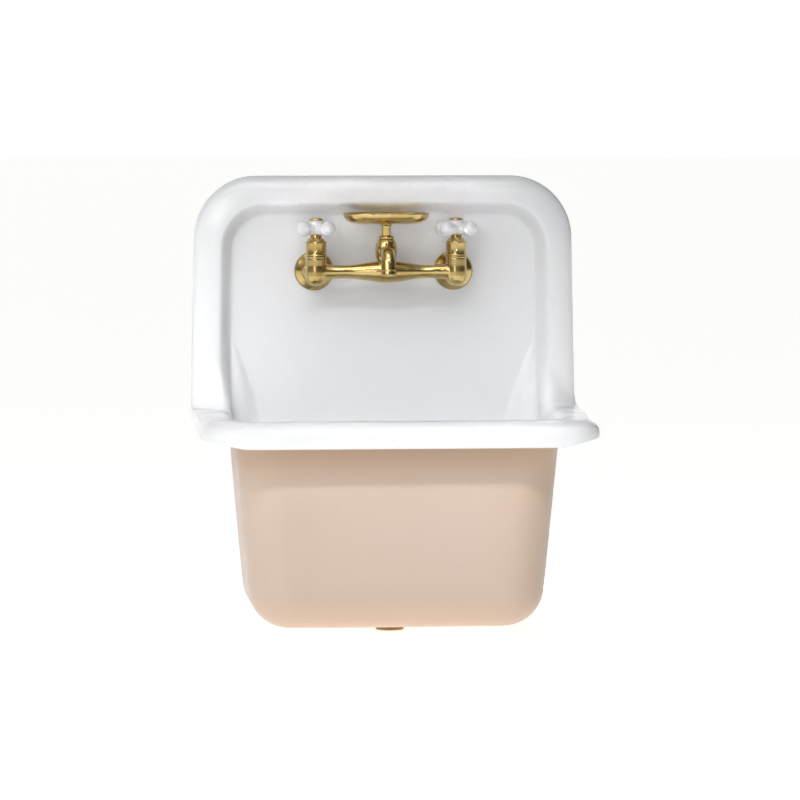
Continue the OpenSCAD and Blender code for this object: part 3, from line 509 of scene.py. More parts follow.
def turned(name, node, profile, steps, round_by, segments, place, closed=True, body="basin_body",
           material=BRASS):
    """Spin one profile into a finished piece that stands for one node."""
    bm = bmesh.new()
    spun(bm, profile, steps, round_by, segments, closed, place)
    make_piece(bm, name, [material], body, [node])


# %% [markdown]
# ### Cast shapes
# Cast brass has no sharp inner corners: metal flows round wherever two shapes meet. A voxel remesh over
# the overlapping shapes, followed by a few passes of smoothing, gives that flow. Bores are cut after it
# with a Boolean, so that their rims stay crisp.

# %% Helpers for cast pieces
def applied(mesh, *modifiers):
    """The mesh as its modifiers leave it. A modifier is (type, settings)."""
    holder = bpy.data.objects.new("holder", mesh)
    bpy.context.scene.collection.objects.link(holder)
    for kind, settings in modifiers:
        modifier = holder.modifiers.new(kind.lower(), kind)
        for key, value in settings.items():
            setattr(modifier, key, value)
    bpy.context.view_layer.update()
    result = bpy.data.meshes.new_from_object(holder.evaluated_get(bpy.context.evaluated_depsgraph_get()))
    bpy.data.objects.remove(holder)
    return result


def fused(bm, voxel, passes):
    """Join overlapping closed shapes into one soft casting."""
    remesh = ("REMESH", {"mode": "VOXEL", "voxel_size": voxel * MM, "adaptivity": 0})
    smooth = ("SMOOTH", {"factor": 0.5, "iterations": passes})
    return applied(to_mesh(bm, "fused"), remesh, smooth)


def bored(mesh, cutter):
    """Cut a bmesh of closed cutters out of a mesh."""
    cut = bpy.data.objects.new("cutter", to_mesh(cutter, "cutter"))
    bpy.context.scene.collection.objects.link(cut)
    result = applied(mesh, ("BOOLEAN", {"operation": "DIFFERENCE", "solver": "EXACT", "object": cut}))
    bpy.data.objects.remove(cut)
    return result


# %% [markdown]
# ### Nuts
# A nut is sawn from hexagon bar, chamfered and bored. The bore's mouths are countersunk, which takes the
# sharp first turn off the thread. The same steps make the mesh: bevel the bar, then cut a spun core out
# of it that widens at both ends.

# %% Nut helper
NUT_CHAMFER = 0.6
MOUTH = 1.5


def nut(bm, across, low, high, bore, place):
    """A hexagon nut with a countersunk bore."""
    blank = bmesh.new()
    hex_prism(blank, across, low, high, NUT_CHAMFER)
    cutter = bmesh.new()
    spun(cutter, [(0, low - 1), (bore + MOUTH, low - 1), (bore, low + 0.5), (bore, high - 0.5),
                  (bore + MOUTH, high + 1), (0, high + 1)], 64)
    mesh = bored(to_mesh(blank, "nut"), cutter)
    mesh.transform(place)
    bm.from_mesh(mesh)


# %% [markdown]
# ## Where things are
# The joints' axes and the CAD boxes say where the valves and the hub stand, so nothing is placed by
# eye. Heights below are counted from the bridge's axis, and depths from the wall, in millimetres.

# %% Places from the frame
hot_axis = Vector(joints["hot_handle_turn"]["pos_m"])
cold_axis = Vector(joints["cold_handle_turn"]["pos_m"])
hub_axis = Vector(joints["spout_swivel"]["pos_m"])
VALVE_PITCH = (cold_axis.x - hot_axis.x) / MM
AT_HUB = Matrix.Translation(hub_axis)
AT_VALVE = {"hot": Matrix.Translation(hot_axis), "cold": Matrix.Translation(cold_axis)}
AT_SUPPLY = {side: Matrix.Translation((axis.x, 0, axis.z)) @ Matrix.Rotation(math.pi / 2, 4, "X")
             for side, axis in (("hot", hot_axis), ("cold", cold_axis))}
LEVEL = Matrix.Rotation(math.pi / 2, 4, "Y")


def top_of(node):
    """Height of a node's top above the bridge's axis, in millimetres."""
    return round((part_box(node)[1].z - hub_axis.z) / MM, 2)


def front_of(node):
    """Distance of a node's front from the wall, in millimetres."""
    return round(-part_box(node)[0].y / MM, 2)


print("valve spacing", round(VALVE_PITCH, 1), "mm")

# %% [markdown]
# ## The casting
# The basin is one iron casting: a drafted bowl, a high back and a hollow roll that runs round both.
# The roll's crest is level along the rim and turns up into the back at the rear corners. The mesh
# starts as a circle at the drain. Each extrusion adds one ring, and every vertex keeps a number that
# says which station of the rim it belongs to, so a formula can put it in its place. The rings climb the
# bowl, cross the roll, go round the lip and come back down outside.

# %% Sizes of the casting
basin_low, basin_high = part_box("basin")
BACK_H = 336
BACK_TAPER = 0.975
WALL = 7
RIM_W = (basin_high.x - basin_low.x) / MM
DEPTH = (basin_high.y - basin_low.y) / MM
BOWL_H = (basin_high.z - basin_low.z) / MM - BACK_H
CREST_Z = basin_high.z - BACK_H * MM
DRAFT = math.radians(5)
PANEL_Y = 22
FLOOR_Z = WALL - BOWL_H
DRAIN_Y = 120
DRAIN_R = 22.5
print("casting", round(RIM_W), "x", round(DEPTH), "x", round(BACK_H + BOWL_H), "mm")

# The bowl's upright corners, the round of its floor, and the height where its wall leaves the draft
REAR_R = 60
FRONT_R = 55
FLOOR_R = 50
MIN_CORNER = 6
BOX_Z = -60

# The roll: its reach inside and outside the crest, its rise, and the drop of its shoulder and lip
ROLL_IN = 20
ROLL_OUT = 38
ROLL_RISE = 23
ROLL_SQUARE = 2.6
SHOULDER = 22
BACK_SHOULDER = 26
REAR_SHOULDER = 2
LIP_FRONT = 37
LIP_SIDE = 26
LIP_REAR = 12
LIP_EDGE = 2

# The crest's line, and the corners that it and the roll's outer edge turn round
CREST_W = RIM_W / 2 - ROLL_OUT
CREST_F = DEPTH - ROLL_OUT
CREST_H = BACK_H - ROLL_OUT
CREST_Y = PANEL_Y + ROLL_RISE
LIP_CORNER_R = 60
TOP_CORNER_R = 90
COVE_CORNER_R = 50

# The sweep from rim to back: its radius outside and inside, the share of the rear side's stations that
# it takes, the lift of its outer edge, and the height where the stations start to climb evenly
BEND_R = 20
BEND_IN_R = 90
BEND_SHARE = 0.6
REAR_LIFT = 2
FADE_Z = 110

# %% [markdown]
# ### Stations
# The outline is walked once round, as a pattern maker would lay battens over a mould: along the front,
# round the front corner, along the side, up the bend, up the back's edge, round its top corner and along
# its top. STEPS says how many stations each stretch gets. Only the right half is worked out, and the
# left half is its mirror image, so both sides match to the last digit.

# %% Stations round the rim
STEPS = [9, 12, 12, 22, 9, 14, 8]
half_stations = [(s, k / count) for s, count in enumerate(STEPS) for k in range(count)] + [(6, 1.0)]
stations = [(s, t, 1) for s, t in half_stations] + [(s, t, -1) for s, t in half_stations[-2:0:-1]]
BACK_STEPS = sum(STEPS[4:])


def lerp(a, b, t):
    return a + (b - a) * t


def ease(t):
    return t * t * (3 - 2 * t)


def back_share(s, t):
    """Share of the back that lies before a station."""
    return (sum(STEPS[4:s]) + t * STEPS[s]) / BACK_STEPS


def rim_point(s, t, p):
    """A point of the roll. p counts millimetres from the crest: out on the bowl, height on the front,
    on the side's front end, over the back, out on the back, height on the side's rear end."""
    u = p[0] if s < 3 else lerp(p[0], p[4], t) if s == 3 else p[4]
    w, f, h = CREST_W + u, CREST_F + u, CREST_H + u
    across = (u + ROLL_IN) / (ROLL_IN + ROLL_OUT)
    r = lerp(FRONT_R, LIP_CORNER_R, across)
    q = lerp(COVE_CORNER_R, TOP_CORNER_R, across)
    bend = lerp(BEND_IN_R, BEND_R, ease(across))
    bend_y = CREST_Y + bend
    y = -CREST_Y - p[3]
    a = math.pi / 2 * t
    if s == 0:
        x, y, z = t * (w - r), -f, p[1]
    elif s == 1:
        x, y, z = w - r + r * math.sin(a), r - f - r * math.cos(a), lerp(p[1], p[2], math.sin(a))
    elif s == 2:
        x, y, z = w, lerp(r - f, -bend_y, t), lerp(p[2], p[5], ease(t))
    elif s == 3 and t < BEND_SHARE:
        m = t / BEND_SHARE
        x, y, z = w, lerp(-bend_y, y, 1 - (1 - m) ** 2), lerp(p[5], bend, m * m)
    elif s == 3:
        x, z = w, lerp(bend, FADE_Z, (t - BEND_SHARE) / (1 - BEND_SHARE))
    elif s == 4:
        x, z = w, lerp(FADE_Z, h - q, t)
    elif s == 5:
        x, z = w - q + q * math.cos(a), h - q + q * math.sin(a)
    else:
        x, z = (w - q) * (1 - t), h
    return Vector((x * lerp(1, BACK_TAPER, max(0, z) / BACK_H), y, z))


def bowl_point(s, t, out, z, inset):
    """A point of the bowl's level loop, set out by the wall's thickness and drawn in by inset."""
    lean = (z + ROLL_RISE) * math.tan(DRAFT)
    w = CREST_W - ROLL_IN + lean + out - inset
    f = CREST_F - ROLL_IN + lean + out - inset
    b = PANEL_Y - out + inset
    r = max(FRONT_R + out - inset, MIN_CORNER)
    c = max(REAR_R + out - inset, MIN_CORNER)
    a = math.pi / 2 * t
    if s == 0:
        return Vector((t * (w - r), -f, z))
    if s == 1:
        return Vector((w - r + r * math.sin(a), r - f - r * math.cos(a), z))
    if s == 2:
        return Vector((w, lerp(r - f, -b - c, t), z))
    if s == 3:
        return Vector((w - c + c * math.cos(a), c * math.sin(a) - b - c, z))
    return Vector(((w - c) * (1 - back_share(s, t)), -b, z))


def floor_round(s, t, out, base, r, a):
    """The round between floor and wall, at an angle from the floor."""
    z = base + r - r * math.cos(a)
    top = base + r - r * math.sin(DRAFT)
    inset = (z - top) * math.tan(DRAFT) + r * math.cos(DRAFT) - r * math.sin(a)
    return bowl_point(s, t, out, z, inset)


def blend_point(box_point, roll_point, s, t, k):
    """A curve from the bowl's wall to the roll that leaves the wall upright."""
    g = 0.6 - 0.5 * math.sin(math.pi * t) if s == 3 else 0.6
    middle = Vector((lerp(box_point.x, roll_point.x, g), lerp(box_point.y, roll_point.y, g),
                     lerp(box_point.z, roll_point.z, 0.6)))
    return box_point * (1 - k) ** 2 + middle * (2 * k * (1 - k)) + roll_point * k ** 2


print("stations", len(stations))

# %% [markdown]
# ### Rings
# A section through the wall goes from the drain across the floor, up the inside, over the roll, round the
# lip and back down outside. Each ring is one point of that section at every station. The rings lie close
# where the iron curves and far apart where it is flat, which keeps the mesh light.

# %% Rings across the wall
INNER_N, OUTER_N, UNDER_N, ROUND_N, BLEND_N, LIP_N = 8, 10, 6, 8, 8, 3
FLOOR_SHARES = (0.04, 0.35, 0.7, 0.93)
WALL_SHARES = (0.33, 0.67)


def squared(v):
    """A sine or cosine bent from a circle's to that of a squarer curve."""
    return max(v, 0) ** (2 / ROLL_SQUARE)


def roll_rings():
    """The roll's face, from the end of the wall over the crest to the outer shoulder."""
    for k in range(INNER_N + 1):
        a = math.pi / 2 * k / INNER_N
        v = ROLL_RISE * (math.sin(a) - 1)
        yield (-ROLL_IN * math.cos(a), v, v, ROLL_RISE * (ease(k / INNER_N) - 1),
               ROLL_IN * (k / INNER_N - 1), v + REAR_LIFT * k / INNER_N)
    for k in range(1, OUTER_N + 1):
        a = math.pi / 2 * k / OUTER_N
        c = squared(math.cos(a)) - 1
        yield (ROLL_OUT * squared(math.sin(a)), SHOULDER * c, SHOULDER * c,
               BACK_SHOULDER * (math.cos(a) - 1), ROLL_OUT * math.sin(a), REAR_SHOULDER * c + REAR_LIFT)


def lip_rings():
    """Round the lip's lower edge, from its outer side to its inner side."""
    for start, turn in ((0, -1), (WALL, 1)):
        for k in range(LIP_N + 1):
            a = math.pi / 2 * (k if turn < 0 else LIP_N - k) / LIP_N
            x = ROLL_OUT - start + turn * LIP_EDGE * (1 - math.cos(a))
            rise = LIP_EDGE * (1 - math.sin(a))
            yield (x, rise - LIP_FRONT, rise - LIP_SIDE, rise - CREST_Y, x, rise - LIP_REAR)


def under_rings():
    """The roll's underside, from the lip back to the outside of the bowl's wall."""
    for k in range(UNDER_N + 1):
        a = math.pi / 2 * (1 - k / UNDER_N)
        c = squared(math.cos(a)) - 1
        x = ROLL_OUT - WALL
        v = (SHOULDER - WALL) * c - WALL
        yield (x * squared(math.sin(a)), v, v, (BACK_SHOULDER - WALL) * (math.cos(a) - 1) - WALL,
               x * math.sin(a), REAR_SHOULDER * c - WALL + REAR_LIFT)
    yield (0.6 * WALL - ROLL_IN / 2, -1.5 * WALL, -1.5 * WALL, -2 * WALL, -ROLL_IN / 2, -1.5 * WALL)
    yield (WALL - ROLL_IN, -ROLL_RISE, -ROLL_RISE, -ROLL_RISE - WALL, -ROLL_IN, -ROLL_RISE)


def wall_rings(s, t, roll_end, out, base, r):
    """From the drain across the floor, round and up the wall to the roll, on one side of the iron."""
    edge = floor_round(s, t, out, base, r, 0)
    a = math.atan2(edge.y + DRAIN_Y, edge.x)
    hole = Vector((DRAIN_R * math.cos(a), DRAIN_R * math.sin(a) - DRAIN_Y, base))
    yield hole
    for share in FLOOR_SHARES:
        yield hole.lerp(edge, share)
    for k in range(ROUND_N + 1):
        yield floor_round(s, t, out, base, r, (math.pi / 2 - DRAFT) * k / ROUND_N)
    for share in WALL_SHARES:
        low = floor_round(s, t, out, base, r, math.pi / 2 - DRAFT)
        yield low.lerp(bowl_point(s, t, out, BOX_Z, 0), share)
    for k in range(BLEND_N):
        yield blend_point(bowl_point(s, t, out, BOX_Z, 0), roll_end, s, t, k / BLEND_N)


roll, lip, under = list(roll_rings()), list(lip_rings()), list(under_rings())


def casting_section(s, t):
    """All the points at one station, and how many of them lie inside the bowl."""
    inside = list(wall_rings(s, t, rim_point(s, t, roll[0]), 0, FLOOR_Z, FLOOR_R))
    over = [rim_point(s, t, p) for p in roll + lip + under]
    outside = list(wall_rings(s, t, rim_point(s, t, under[-1]), WALL, -BOWL_H, FLOOR_R + WALL))
    return inside + over + outside[::-1], len(inside)


sections = [casting_section(s, t)[0] for s, t, side in stations]
RING_COUNT = len(sections[0])
PAINT_FROM = casting_section(0, 0)[1] + len(roll) + LIP_N
print("rings", RING_COUNT, "paint starts at ring", PAINT_FROM)

# %% [markdown]
# ### The casting's mesh
# The mesh starts as a circle at the drain, and each extrusion adds the next ring. A last bridge closes the
# wall at the drain hole. Hand-finished iron is never quite true, so a slow noise of a seventh of a
# millimetre moves every point of the roll and the back. It makes the long reflections wander the way
# they do on a real casting. This noise takes its offset from the clock unless it is seeded, so a fixed
# seed makes every run cast the same basin. One subdivision then rounds what the stations left straight.

# %% Casting mesh
WAVER = 0.15
WAVER_SCALE = 9
WAVER_SEED = 7
noise.seed_set(WAVER_SEED)


def casting_place(station, ring):
    """Where a vertex of the casting belongs, in metres."""
    side = stations[station][2]
    p = sections[station][ring].copy()
    p.x *= side
    place = p * MM + Vector((0, 0, CREST_Z))
    if p.y < -WALL and FLOOR_Z + FLOOR_R < p.z:
        place += noise.noise_vector(place * WAVER_SCALE) * WAVER * MM
        place.x = min(max(place.x, basin_low.x), basin_high.x)
    return place


bm = bmesh.new()
station_layer = bm.verts.layers.int.new("station")
circle = bmesh.ops.create_circle(bm, cap_ends=False, radius=DRAIN_R * MM, segments=len(stations))
for number, vert in enumerate(circle["verts"]):
    vert[station_layer] = number
    vert.co = casting_place(number, 0)
first_ring = bm.edges[:]
ring_edges = first_ring
for ring in range(1, RING_COUNT):
    grown = bmesh.ops.extrude_edge_only(bm, edges=ring_edges)["geom"]
    ring_edges = [g for g in grown if isinstance(g, bmesh.types.BMEdge)]
    for g in grown:
        if isinstance(g, bmesh.types.BMVert):
            g.co = casting_place(g[station_layer], ring)
        elif isinstance(g, bmesh.types.BMFace):
            g.material_index = int(ring > PAINT_FROM)
bridge = bmesh.ops.bridge_loops(bm, edges=first_ring + ring_edges)
for face in bridge["faces"]:
    face.material_index = 1
bmesh.ops.recalc_face_normals(bm, faces=bm.faces)
open_edges = sum(not edge.is_manifold for edge in bm.edges)
casting_mesh = to_mesh(bm, "casting")
casting_mesh.materials.append(ENAMEL)
casting_mesh.materials.append(PAINT)
casting_mesh = applied(casting_mesh, ("SUBSURF", {"levels": 1, "render_levels": 1}))
print("open edges", open_edges, "faces", len(casting_mesh.polygons))

# %% [markdown]
# ### Holes and lugs
# The panel has two holes for the shanks, hidden by the escutcheons. On its back two cast lugs hang over
# the hooks of the wall hanger. The holes are cut after the subdivision, so their rims stay crisp.

# %% Holes and lugs of the casting
HOLE_R = 11.5
LUG_X = 70
HOOK_W = 36
LUG_W = HOOK_W + 4
cutter = bmesh.new()
for side in ("hot", "cold"):
    spun(cutter, [(0, -1), (HOLE_R, -1), (HOLE_R, PANEL_Y + 5), (0, PANEL_Y + 5)], 96,
         place=AT_SUPPLY[side])
casting_mesh = bored(casting_mesh, cutter)
bm = bmesh.new()
bm.from_mesh(casting_mesh)
lug = [(18.5, 0), (10, 0), (10, 8.4), (6.2, 8.4), (6.2, 0), (3.5, 0), (3.5, 18), (18.5, 18)]
for x in (-LUG_X, LUG_X):
    prism(bm, lug, LUG_W, 0.7, x, material=1)
bm.to_mesh(casting_mesh)
bm.free()
dress(casting_mesh, "casting", [], "basin_body", ["basin"], sharp=40)

# %% [markdown]
# ## The wall hanger
# A plate of painted steel is screwed to the wall and carries the whole basin on two upturned hooks.
# Sheared plate has slightly rolled edges, so every edge is bevelled by half a millimetre. The four screw
# holes are cut first and the hooks joined after, because each is a closed shape of its own.

# %% Wall hanger
HANGER_W = 300
HANGER_H = 52
HANGER_T = 3
SCREW_X = 130
SCREW_Z = 16
SCREW_R = 3.5
bm = bmesh.new()
prism(bm, [(0, -HANGER_H / 2), (HANGER_T, -HANGER_H / 2), (HANGER_T, HANGER_H / 2), (0, HANGER_H / 2)],
      HANGER_W, 0.5)
cutter = bmesh.new()
for x in (-SCREW_X, SCREW_X):
    for z in (-SCREW_Z, SCREW_Z):
        spun(cutter, [(0, -1), (SCREW_R, -1), (SCREW_R, 2.6), (SCREW_R + 0.7, 3.3), (0, 3.3)], 48,
             place=Matrix.Translation((x * MM, 0, z * MM)) @ Matrix.Rotation(math.pi / 2, 4, "X"))
plate = bored(to_mesh(bm, "plate"), cutter)
hook = [(1.5, -6), (9.6, -6), (9.6, 8), (6.6, 8), (6.6, -3), (1.5, -3)]
bm = bmesh.new()
bm.from_mesh(plate)
for x in (-LUG_X, LUG_X):
    prism(bm, hook, HOOK_W, 0.4, x)
make_piece(bm, "hanger_dressed", [HANGER_PAINT], "basin_body", ["wall_hanger"])

# %% [markdown]
# ## The bridge
# One brass casting carries both valves: two barrels with round lower ends, tapered arms between them,
# a deeper belly in the middle and a short tail behind each barrel. The shapes are spun one by one and
# then fused, which gives the soft fillets that show where arm meets barrel.

# %% Bridge sizes
ARM_X = VALVE_PITCH / 2
ARM_R = 9.4
ARM_ROOT_R = 16
ARM_STEPS = 12
SLIM_SHARE = 0.6
BARREL_R = 15.5
BARREL_LOW = -21
BARREL_TOP = 22.6
NECK_Z = 15.7
TAIL_R = 10.5
TAIL_Y = front_of("union_washers")
TAIL_FLANGE_R = 13
TAIL_FLANGE_T = 3
WATER_R = 4.5
SPIGOT_R = 9.6
SPIGOT_TOP = 47.6
SOCKET_R = 12.95
SOCKET_Z = 12
CARTRIDGE_R = 10.95
SEAT_Z = -1
VALVE_Y = -hub_axis.y / MM


def arm_radius(x):
    """The arm is slimmest at six tenths of its length."""
    m = abs(x) / ARM_X
    if m < SLIM_SHARE:
        return lerp(ARM_ROOT_R, ARM_R, ease(m / SLIM_SHARE))
    return lerp(ARM_R, BARREL_R - 2.2, ((m - SLIM_SHARE) / (1 - SLIM_SHARE)) ** 2)


# %% Bridge casting
bm = bmesh.new()
arm_points = [k / ARM_STEPS * (ARM_X - 5) for k in range(-ARM_STEPS, ARM_STEPS + 1)]
arm_profile = [(0, arm_points[0])] + [(arm_radius(x), x) for x in arm_points] + [(0, arm_points[-1])]
spun(bm, arm_profile, 48, place=AT_HUB @ LEVEL)
belly = [(0, -15.8), (7, -14.6), (12, -11), (15.4, -4), (15.6, 3), (14.6, 10), (13.5, NECK_Z), (0, NECK_Z)]
spun(bm, belly, 48, place=AT_HUB)
barrel = [(0, BARREL_LOW), (6.2, -20), (10.8, -17.4), (13.9, -13), (BARREL_R, -7), (BARREL_R, 0),
          (BARREL_R - 0.5, 9), (BARREL_R - 0.5, BARREL_TOP - 2.6), (0, BARREL_TOP - 2.6)]
for side in ("hot", "cold"):
    spun(bm, barrel, 48, place=AT_VALVE[side])
    spun(bm, [(0, TAIL_Y + 4), (TAIL_R, TAIL_Y + 4), (TAIL_R, VALVE_Y - 4), (0, VALVE_Y - 4)], 48,
         place=AT_SUPPLY[side])
bridge_mesh = fused(bm, 0.8, 6)
print("fused bridge", len(bridge_mesh.polygons), "faces")

# %% [markdown]
# ### Machined ends
# After casting, the ends that meet other pieces are turned on a lathe. Each barrel is bored for its
# cartridge and keeps a bead round its mouth, and each tail gets a flange for its union nut. The bores are
# cut out of the fused mesh. The bead, the flange and the spigot are spun crisp and laid over it, because
# the smoothing would have melted such fine edges.

# %% Bridge sockets and crisp ends
cutter = bmesh.new()
for side in ("hot", "cold"):
    spun(cutter, [(0, -14), (7.5, -14), (7.5, SEAT_Z), (CARTRIDGE_R, SEAT_Z), (CARTRIDGE_R, SOCKET_Z),
                  (SOCKET_R, SOCKET_Z), (SOCKET_R, BARREL_TOP + 5), (0, BARREL_TOP + 5)], 64,
         place=AT_VALVE[side])
bridge_mesh = bored(bridge_mesh, cutter)
bm = bmesh.new()
bm.from_mesh(bridge_mesh)
bead = [(SOCKET_R, BARREL_TOP - 3), (BARREL_R - 0.5, BARREL_TOP - 3), (BARREL_R - 0.5, BARREL_TOP - 2.4),
        (BARREL_R + 0.6, BARREL_TOP - 1.9), (BARREL_R + 0.6, BARREL_TOP - 0.5), (BARREL_R, BARREL_TOP),
        (SOCKET_R, BARREL_TOP)]
flange = [(WATER_R, TAIL_Y), (TAIL_FLANGE_R, TAIL_Y), (TAIL_FLANGE_R, TAIL_Y + TAIL_FLANGE_T),
          (TAIL_R, TAIL_Y + TAIL_FLANGE_T), (TAIL_R, TAIL_Y + 5), (WATER_R, TAIL_Y + 5)]
for side in ("hot", "cold"):
    spun(bm, bead, 96, 0.35, 3, closed=True, place=AT_VALVE[side])
    spun(bm, flange, 64, 0.3, 2, closed=True, place=AT_SUPPLY[side])
spigot = [(0, NECK_Z - 1), (SPIGOT_R, NECK_Z - 1), (SPIGOT_R, SPIGOT_TOP), (0, SPIGOT_TOP)]
spun(bm, spigot, 64, 0.4, 2, place=AT_HUB)
make_piece(bm, "bridge_casting", [BRASS], "basin_body", ["faucet_body"], sharp=40)

# %% [markdown]
# ## Valves
# Each bonnet is a turned barrel with a shoulder and a slim gland. It is one closed profile, spun once,
# with its bore left open for the stem. The groove between it and the bridge is real, 0.8 mm wide, and
# shows as the dark line in the picture.

# %% Bonnets
BONNET_Z = 23.4
BONNET_R = 15.2
GLAND_TOP = top_of("hot_bonnet")
GLAND_Z = GLAND_TOP - 9
GLAND_R = 8.5
STEM_R = 4.8
bonnet = [(STEM_R, GLAND_Z - 5), (CARTRIDGE_R, GLAND_Z - 5), (CARTRIDGE_R, 13), (12.8, 13),
          (12.8, BONNET_Z), (BONNET_R, BONNET_Z), (BONNET_R, BONNET_Z + 1.6),
          (BONNET_R - 0.5, BONNET_Z + 2.2), (BONNET_R - 0.5, GLAND_Z - 3.4), (BONNET_R, GLAND_Z - 2.8),
          (BONNET_R, GLAND_Z - 0.9),
          (BONNET_R - 1.2, GLAND_Z), (10.6, GLAND_Z + 3.8), (9.3, GLAND_Z + 4.4),
          (GLAND_R, GLAND_Z + 5.2), (GLAND_R, GLAND_TOP), (STEM_R, GLAND_TOP)]
for side in ("hot", "cold"):
    turned(f"{side}_bonnet_dressed", f"{side}_bonnet", bonnet, 96, 0.3, 3, AT_VALVE[side])

# %% [markdown]
# ## Porcelain handles
# Each handle is a cross of four bulbs round a boss. Clay shrinks and glaze runs, so every joint between
# arm and boss is a soft fillet. Two spun arms and a spun boss are fused as the bridge was, at a finer
# voxel. The arms stand at a different angle on each valve, and the CAD solid gives the direction.

# %% Handle sizes
HANDLE_Z = GLAND_TOP + 9
HUB_TOP = top_of("hot_handle")
BULB_REACH = 24
BULB_R = 10.75
WAIST_R = 8.4
BOSS_R = 12.6
SKIRT_TOP = GLAND_TOP + 2.5
BUTTON_R = 10.5
SKIRT_BORE = 8.85
INSERT_BORE = 7.15
BUTTON_BORE = 7.5
REST_TURN = {"hot": 38, "cold": 52}


def handle_arm():
    """The profile of one arm with a bulb at each end, from tip to tip."""
    turn = [math.radians(a) for a in range(-75, 46, 15)]
    bulb = [(BULB_R * math.cos(a), BULB_REACH - BULB_R * math.sin(a)) for a in turn]
    left = [(r, -x) for r, x in bulb]
    right = [(r, x) for r, x in reversed(bulb)]
    waist = [(WAIST_R, -0.5 * BULB_REACH), (WAIST_R, 0.5 * BULB_REACH)]
    tip = BULB_REACH + BULB_R
    return [(0, -tip)] + left + waist + right + [(0, tip)]


# %% [markdown]
# ### The crosses
# Both handles come from one mould, so the loop makes them alike and only the angle at rest differs. The
# underside and the top are cut after the fusing: below for the brass insert, above for the screw and the
# button's spigot.

# %% Handles
boss = [(0, SKIRT_TOP), (9, SKIRT_TOP), (11.5, SKIRT_TOP + 2), (BOSS_R, HANDLE_Z),
        (12.2, (HANDLE_Z + HUB_TOP) / 2 + 1), (BUTTON_R, HUB_TOP), (0, HUB_TOP)]
for side in ("hot", "cold"):
    bm = bmesh.new()
    spun(bm, boss, 64, place=AT_VALVE[side])
    for turn in (0, 90):
        swing = Matrix.Rotation(math.radians(REST_TURN[side] + turn), 4, "Z")
        spun(bm, handle_arm(), 48,
             place=AT_VALVE[side] @ Matrix.Translation((0, 0, HANDLE_Z * MM)) @ swing @ LEVEL)
    cross = fused(bm, 0.55, 5)
    cutter = bmesh.new()
    spun(cutter, [(0, GLAND_TOP), (SKIRT_BORE, GLAND_TOP), (SKIRT_BORE, SKIRT_TOP),
                  (INSERT_BORE, SKIRT_TOP), (INSERT_BORE, HUB_TOP - 3.8), (BUTTON_BORE, HUB_TOP - 3.8),
                  (BUTTON_BORE, HUB_TOP + 4), (0, HUB_TOP + 4)], 48, place=AT_VALVE[side])
    dress(bored(cross, cutter), f"{side}_cross_handle", [PORCELAIN], f"{side}_handle_body",
          [f"{side}_handle"], sharp=50)

# %% [markdown]
# ### Buttons
# A brass button closes each handle's top and hides the screw. It is turned with a shallow ring in its
# face and a thin spigot below that presses into the porcelain. The face and the spigot are two closed
# shells that overlap, which spares a Boolean where nobody can look in.

# %% Buttons
BUTTON_Z = HUB_TOP + 0.3
BUTTON_TOP = top_of("hot_button")
button = [(0, BUTTON_Z), (BUTTON_R - 0.4, BUTTON_Z), (BUTTON_R, BUTTON_Z + 0.6), (BUTTON_R, BUTTON_Z + 1.4),
          (BUTTON_R - 0.9, BUTTON_TOP - 1.4), (8.0, BUTTON_TOP - 0.9), (7.1, BUTTON_TOP - 1.2),
          (6.2, BUTTON_TOP - 0.4), (3.0, BUTTON_TOP), (0, BUTTON_TOP)]
ring_r = BUTTON_BORE - 0.15
spigot_ring = [(5.5, HUB_TOP - 4), (ring_r, HUB_TOP - 4), (ring_r, BUTTON_Z + 0.3), (5.5, BUTTON_Z + 0.3)]
for side in ("hot", "cold"):
    bm = bmesh.new()
    spun(bm, button, 80, 0.25, 3, place=AT_VALVE[side])
    spun(bm, spigot_ring, 48, 0.2, 2, closed=True, place=AT_VALVE[side])
    make_piece(bm, f"{side}_button_dressed", [BRASS], f"{side}_handle_body", [f"{side}_button"])

# %% [markdown]
# ## Escutcheons
# A domed brass plate hides each hole in the panel. Such a plate is thin sheet, pressed over a form on a
# lathe, so its profile is a closed loop with a hollow back: up the bore, out over the dome to the rim,
# and back under it.

# %% Escutcheons
escutcheon = [(10.45, 34), (10.45, 36), (15.2, 36), (16.4, 35.1), (19.4, 31.9), (23.4, 29.1), (26.6, 27.0),
              (27.6, 26.0), (28.5, 25.1), (28.5, 23.5), (25.5, 23.5), (25.5, 24.3), (22.4, 27.4),
              (18.6, 30.2), (14.4, 33.6)]
for side in ("hot", "cold"):
    turned(f"{side}_escutcheon_dressed", f"{side}_escutcheon", escutcheon, 96, 0.35, 3, AT_SUPPLY[side])

# %% [markdown]
# ### Union nuts
# A union nut pulls the bridge's tail against the shank. Its hexagon takes the wrench, and a round collar
# in front grips the tail's flange. The nut helper makes the hexagon, and the collar is one closed profile
# spun over its front end.

# %% Union nuts
NUT_ACROSS = 16.5
NUT_BACK = 37
NUT_FRONT = front_of("hot_union_nut")
NUT_LIP_Y = NUT_FRONT - 2.8
NUT_BORE = 13.75
NUT_MOUTH = 10.65
COLLAR_R = 16
collar = [(NUT_MOUTH, NUT_LIP_Y), (NUT_MOUTH, NUT_FRONT), (COLLAR_R, NUT_FRONT), (COLLAR_R, NUT_FRONT - 5),
          (NUT_BORE, NUT_FRONT - 5), (NUT_BORE, NUT_LIP_Y)]
for side in ("hot", "cold"):
    bm = bmesh.new()
    nut(bm, NUT_ACROSS, NUT_BACK, NUT_FRONT - 4, NUT_BORE, AT_SUPPLY[side])
    spun(bm, collar, 64, 0.6, 3, closed=True, place=AT_SUPPLY[side])
    make_piece(bm, f"{side}_union_nut_dressed", [BRASS], "basin_body", [f"{side}_union_nut"])

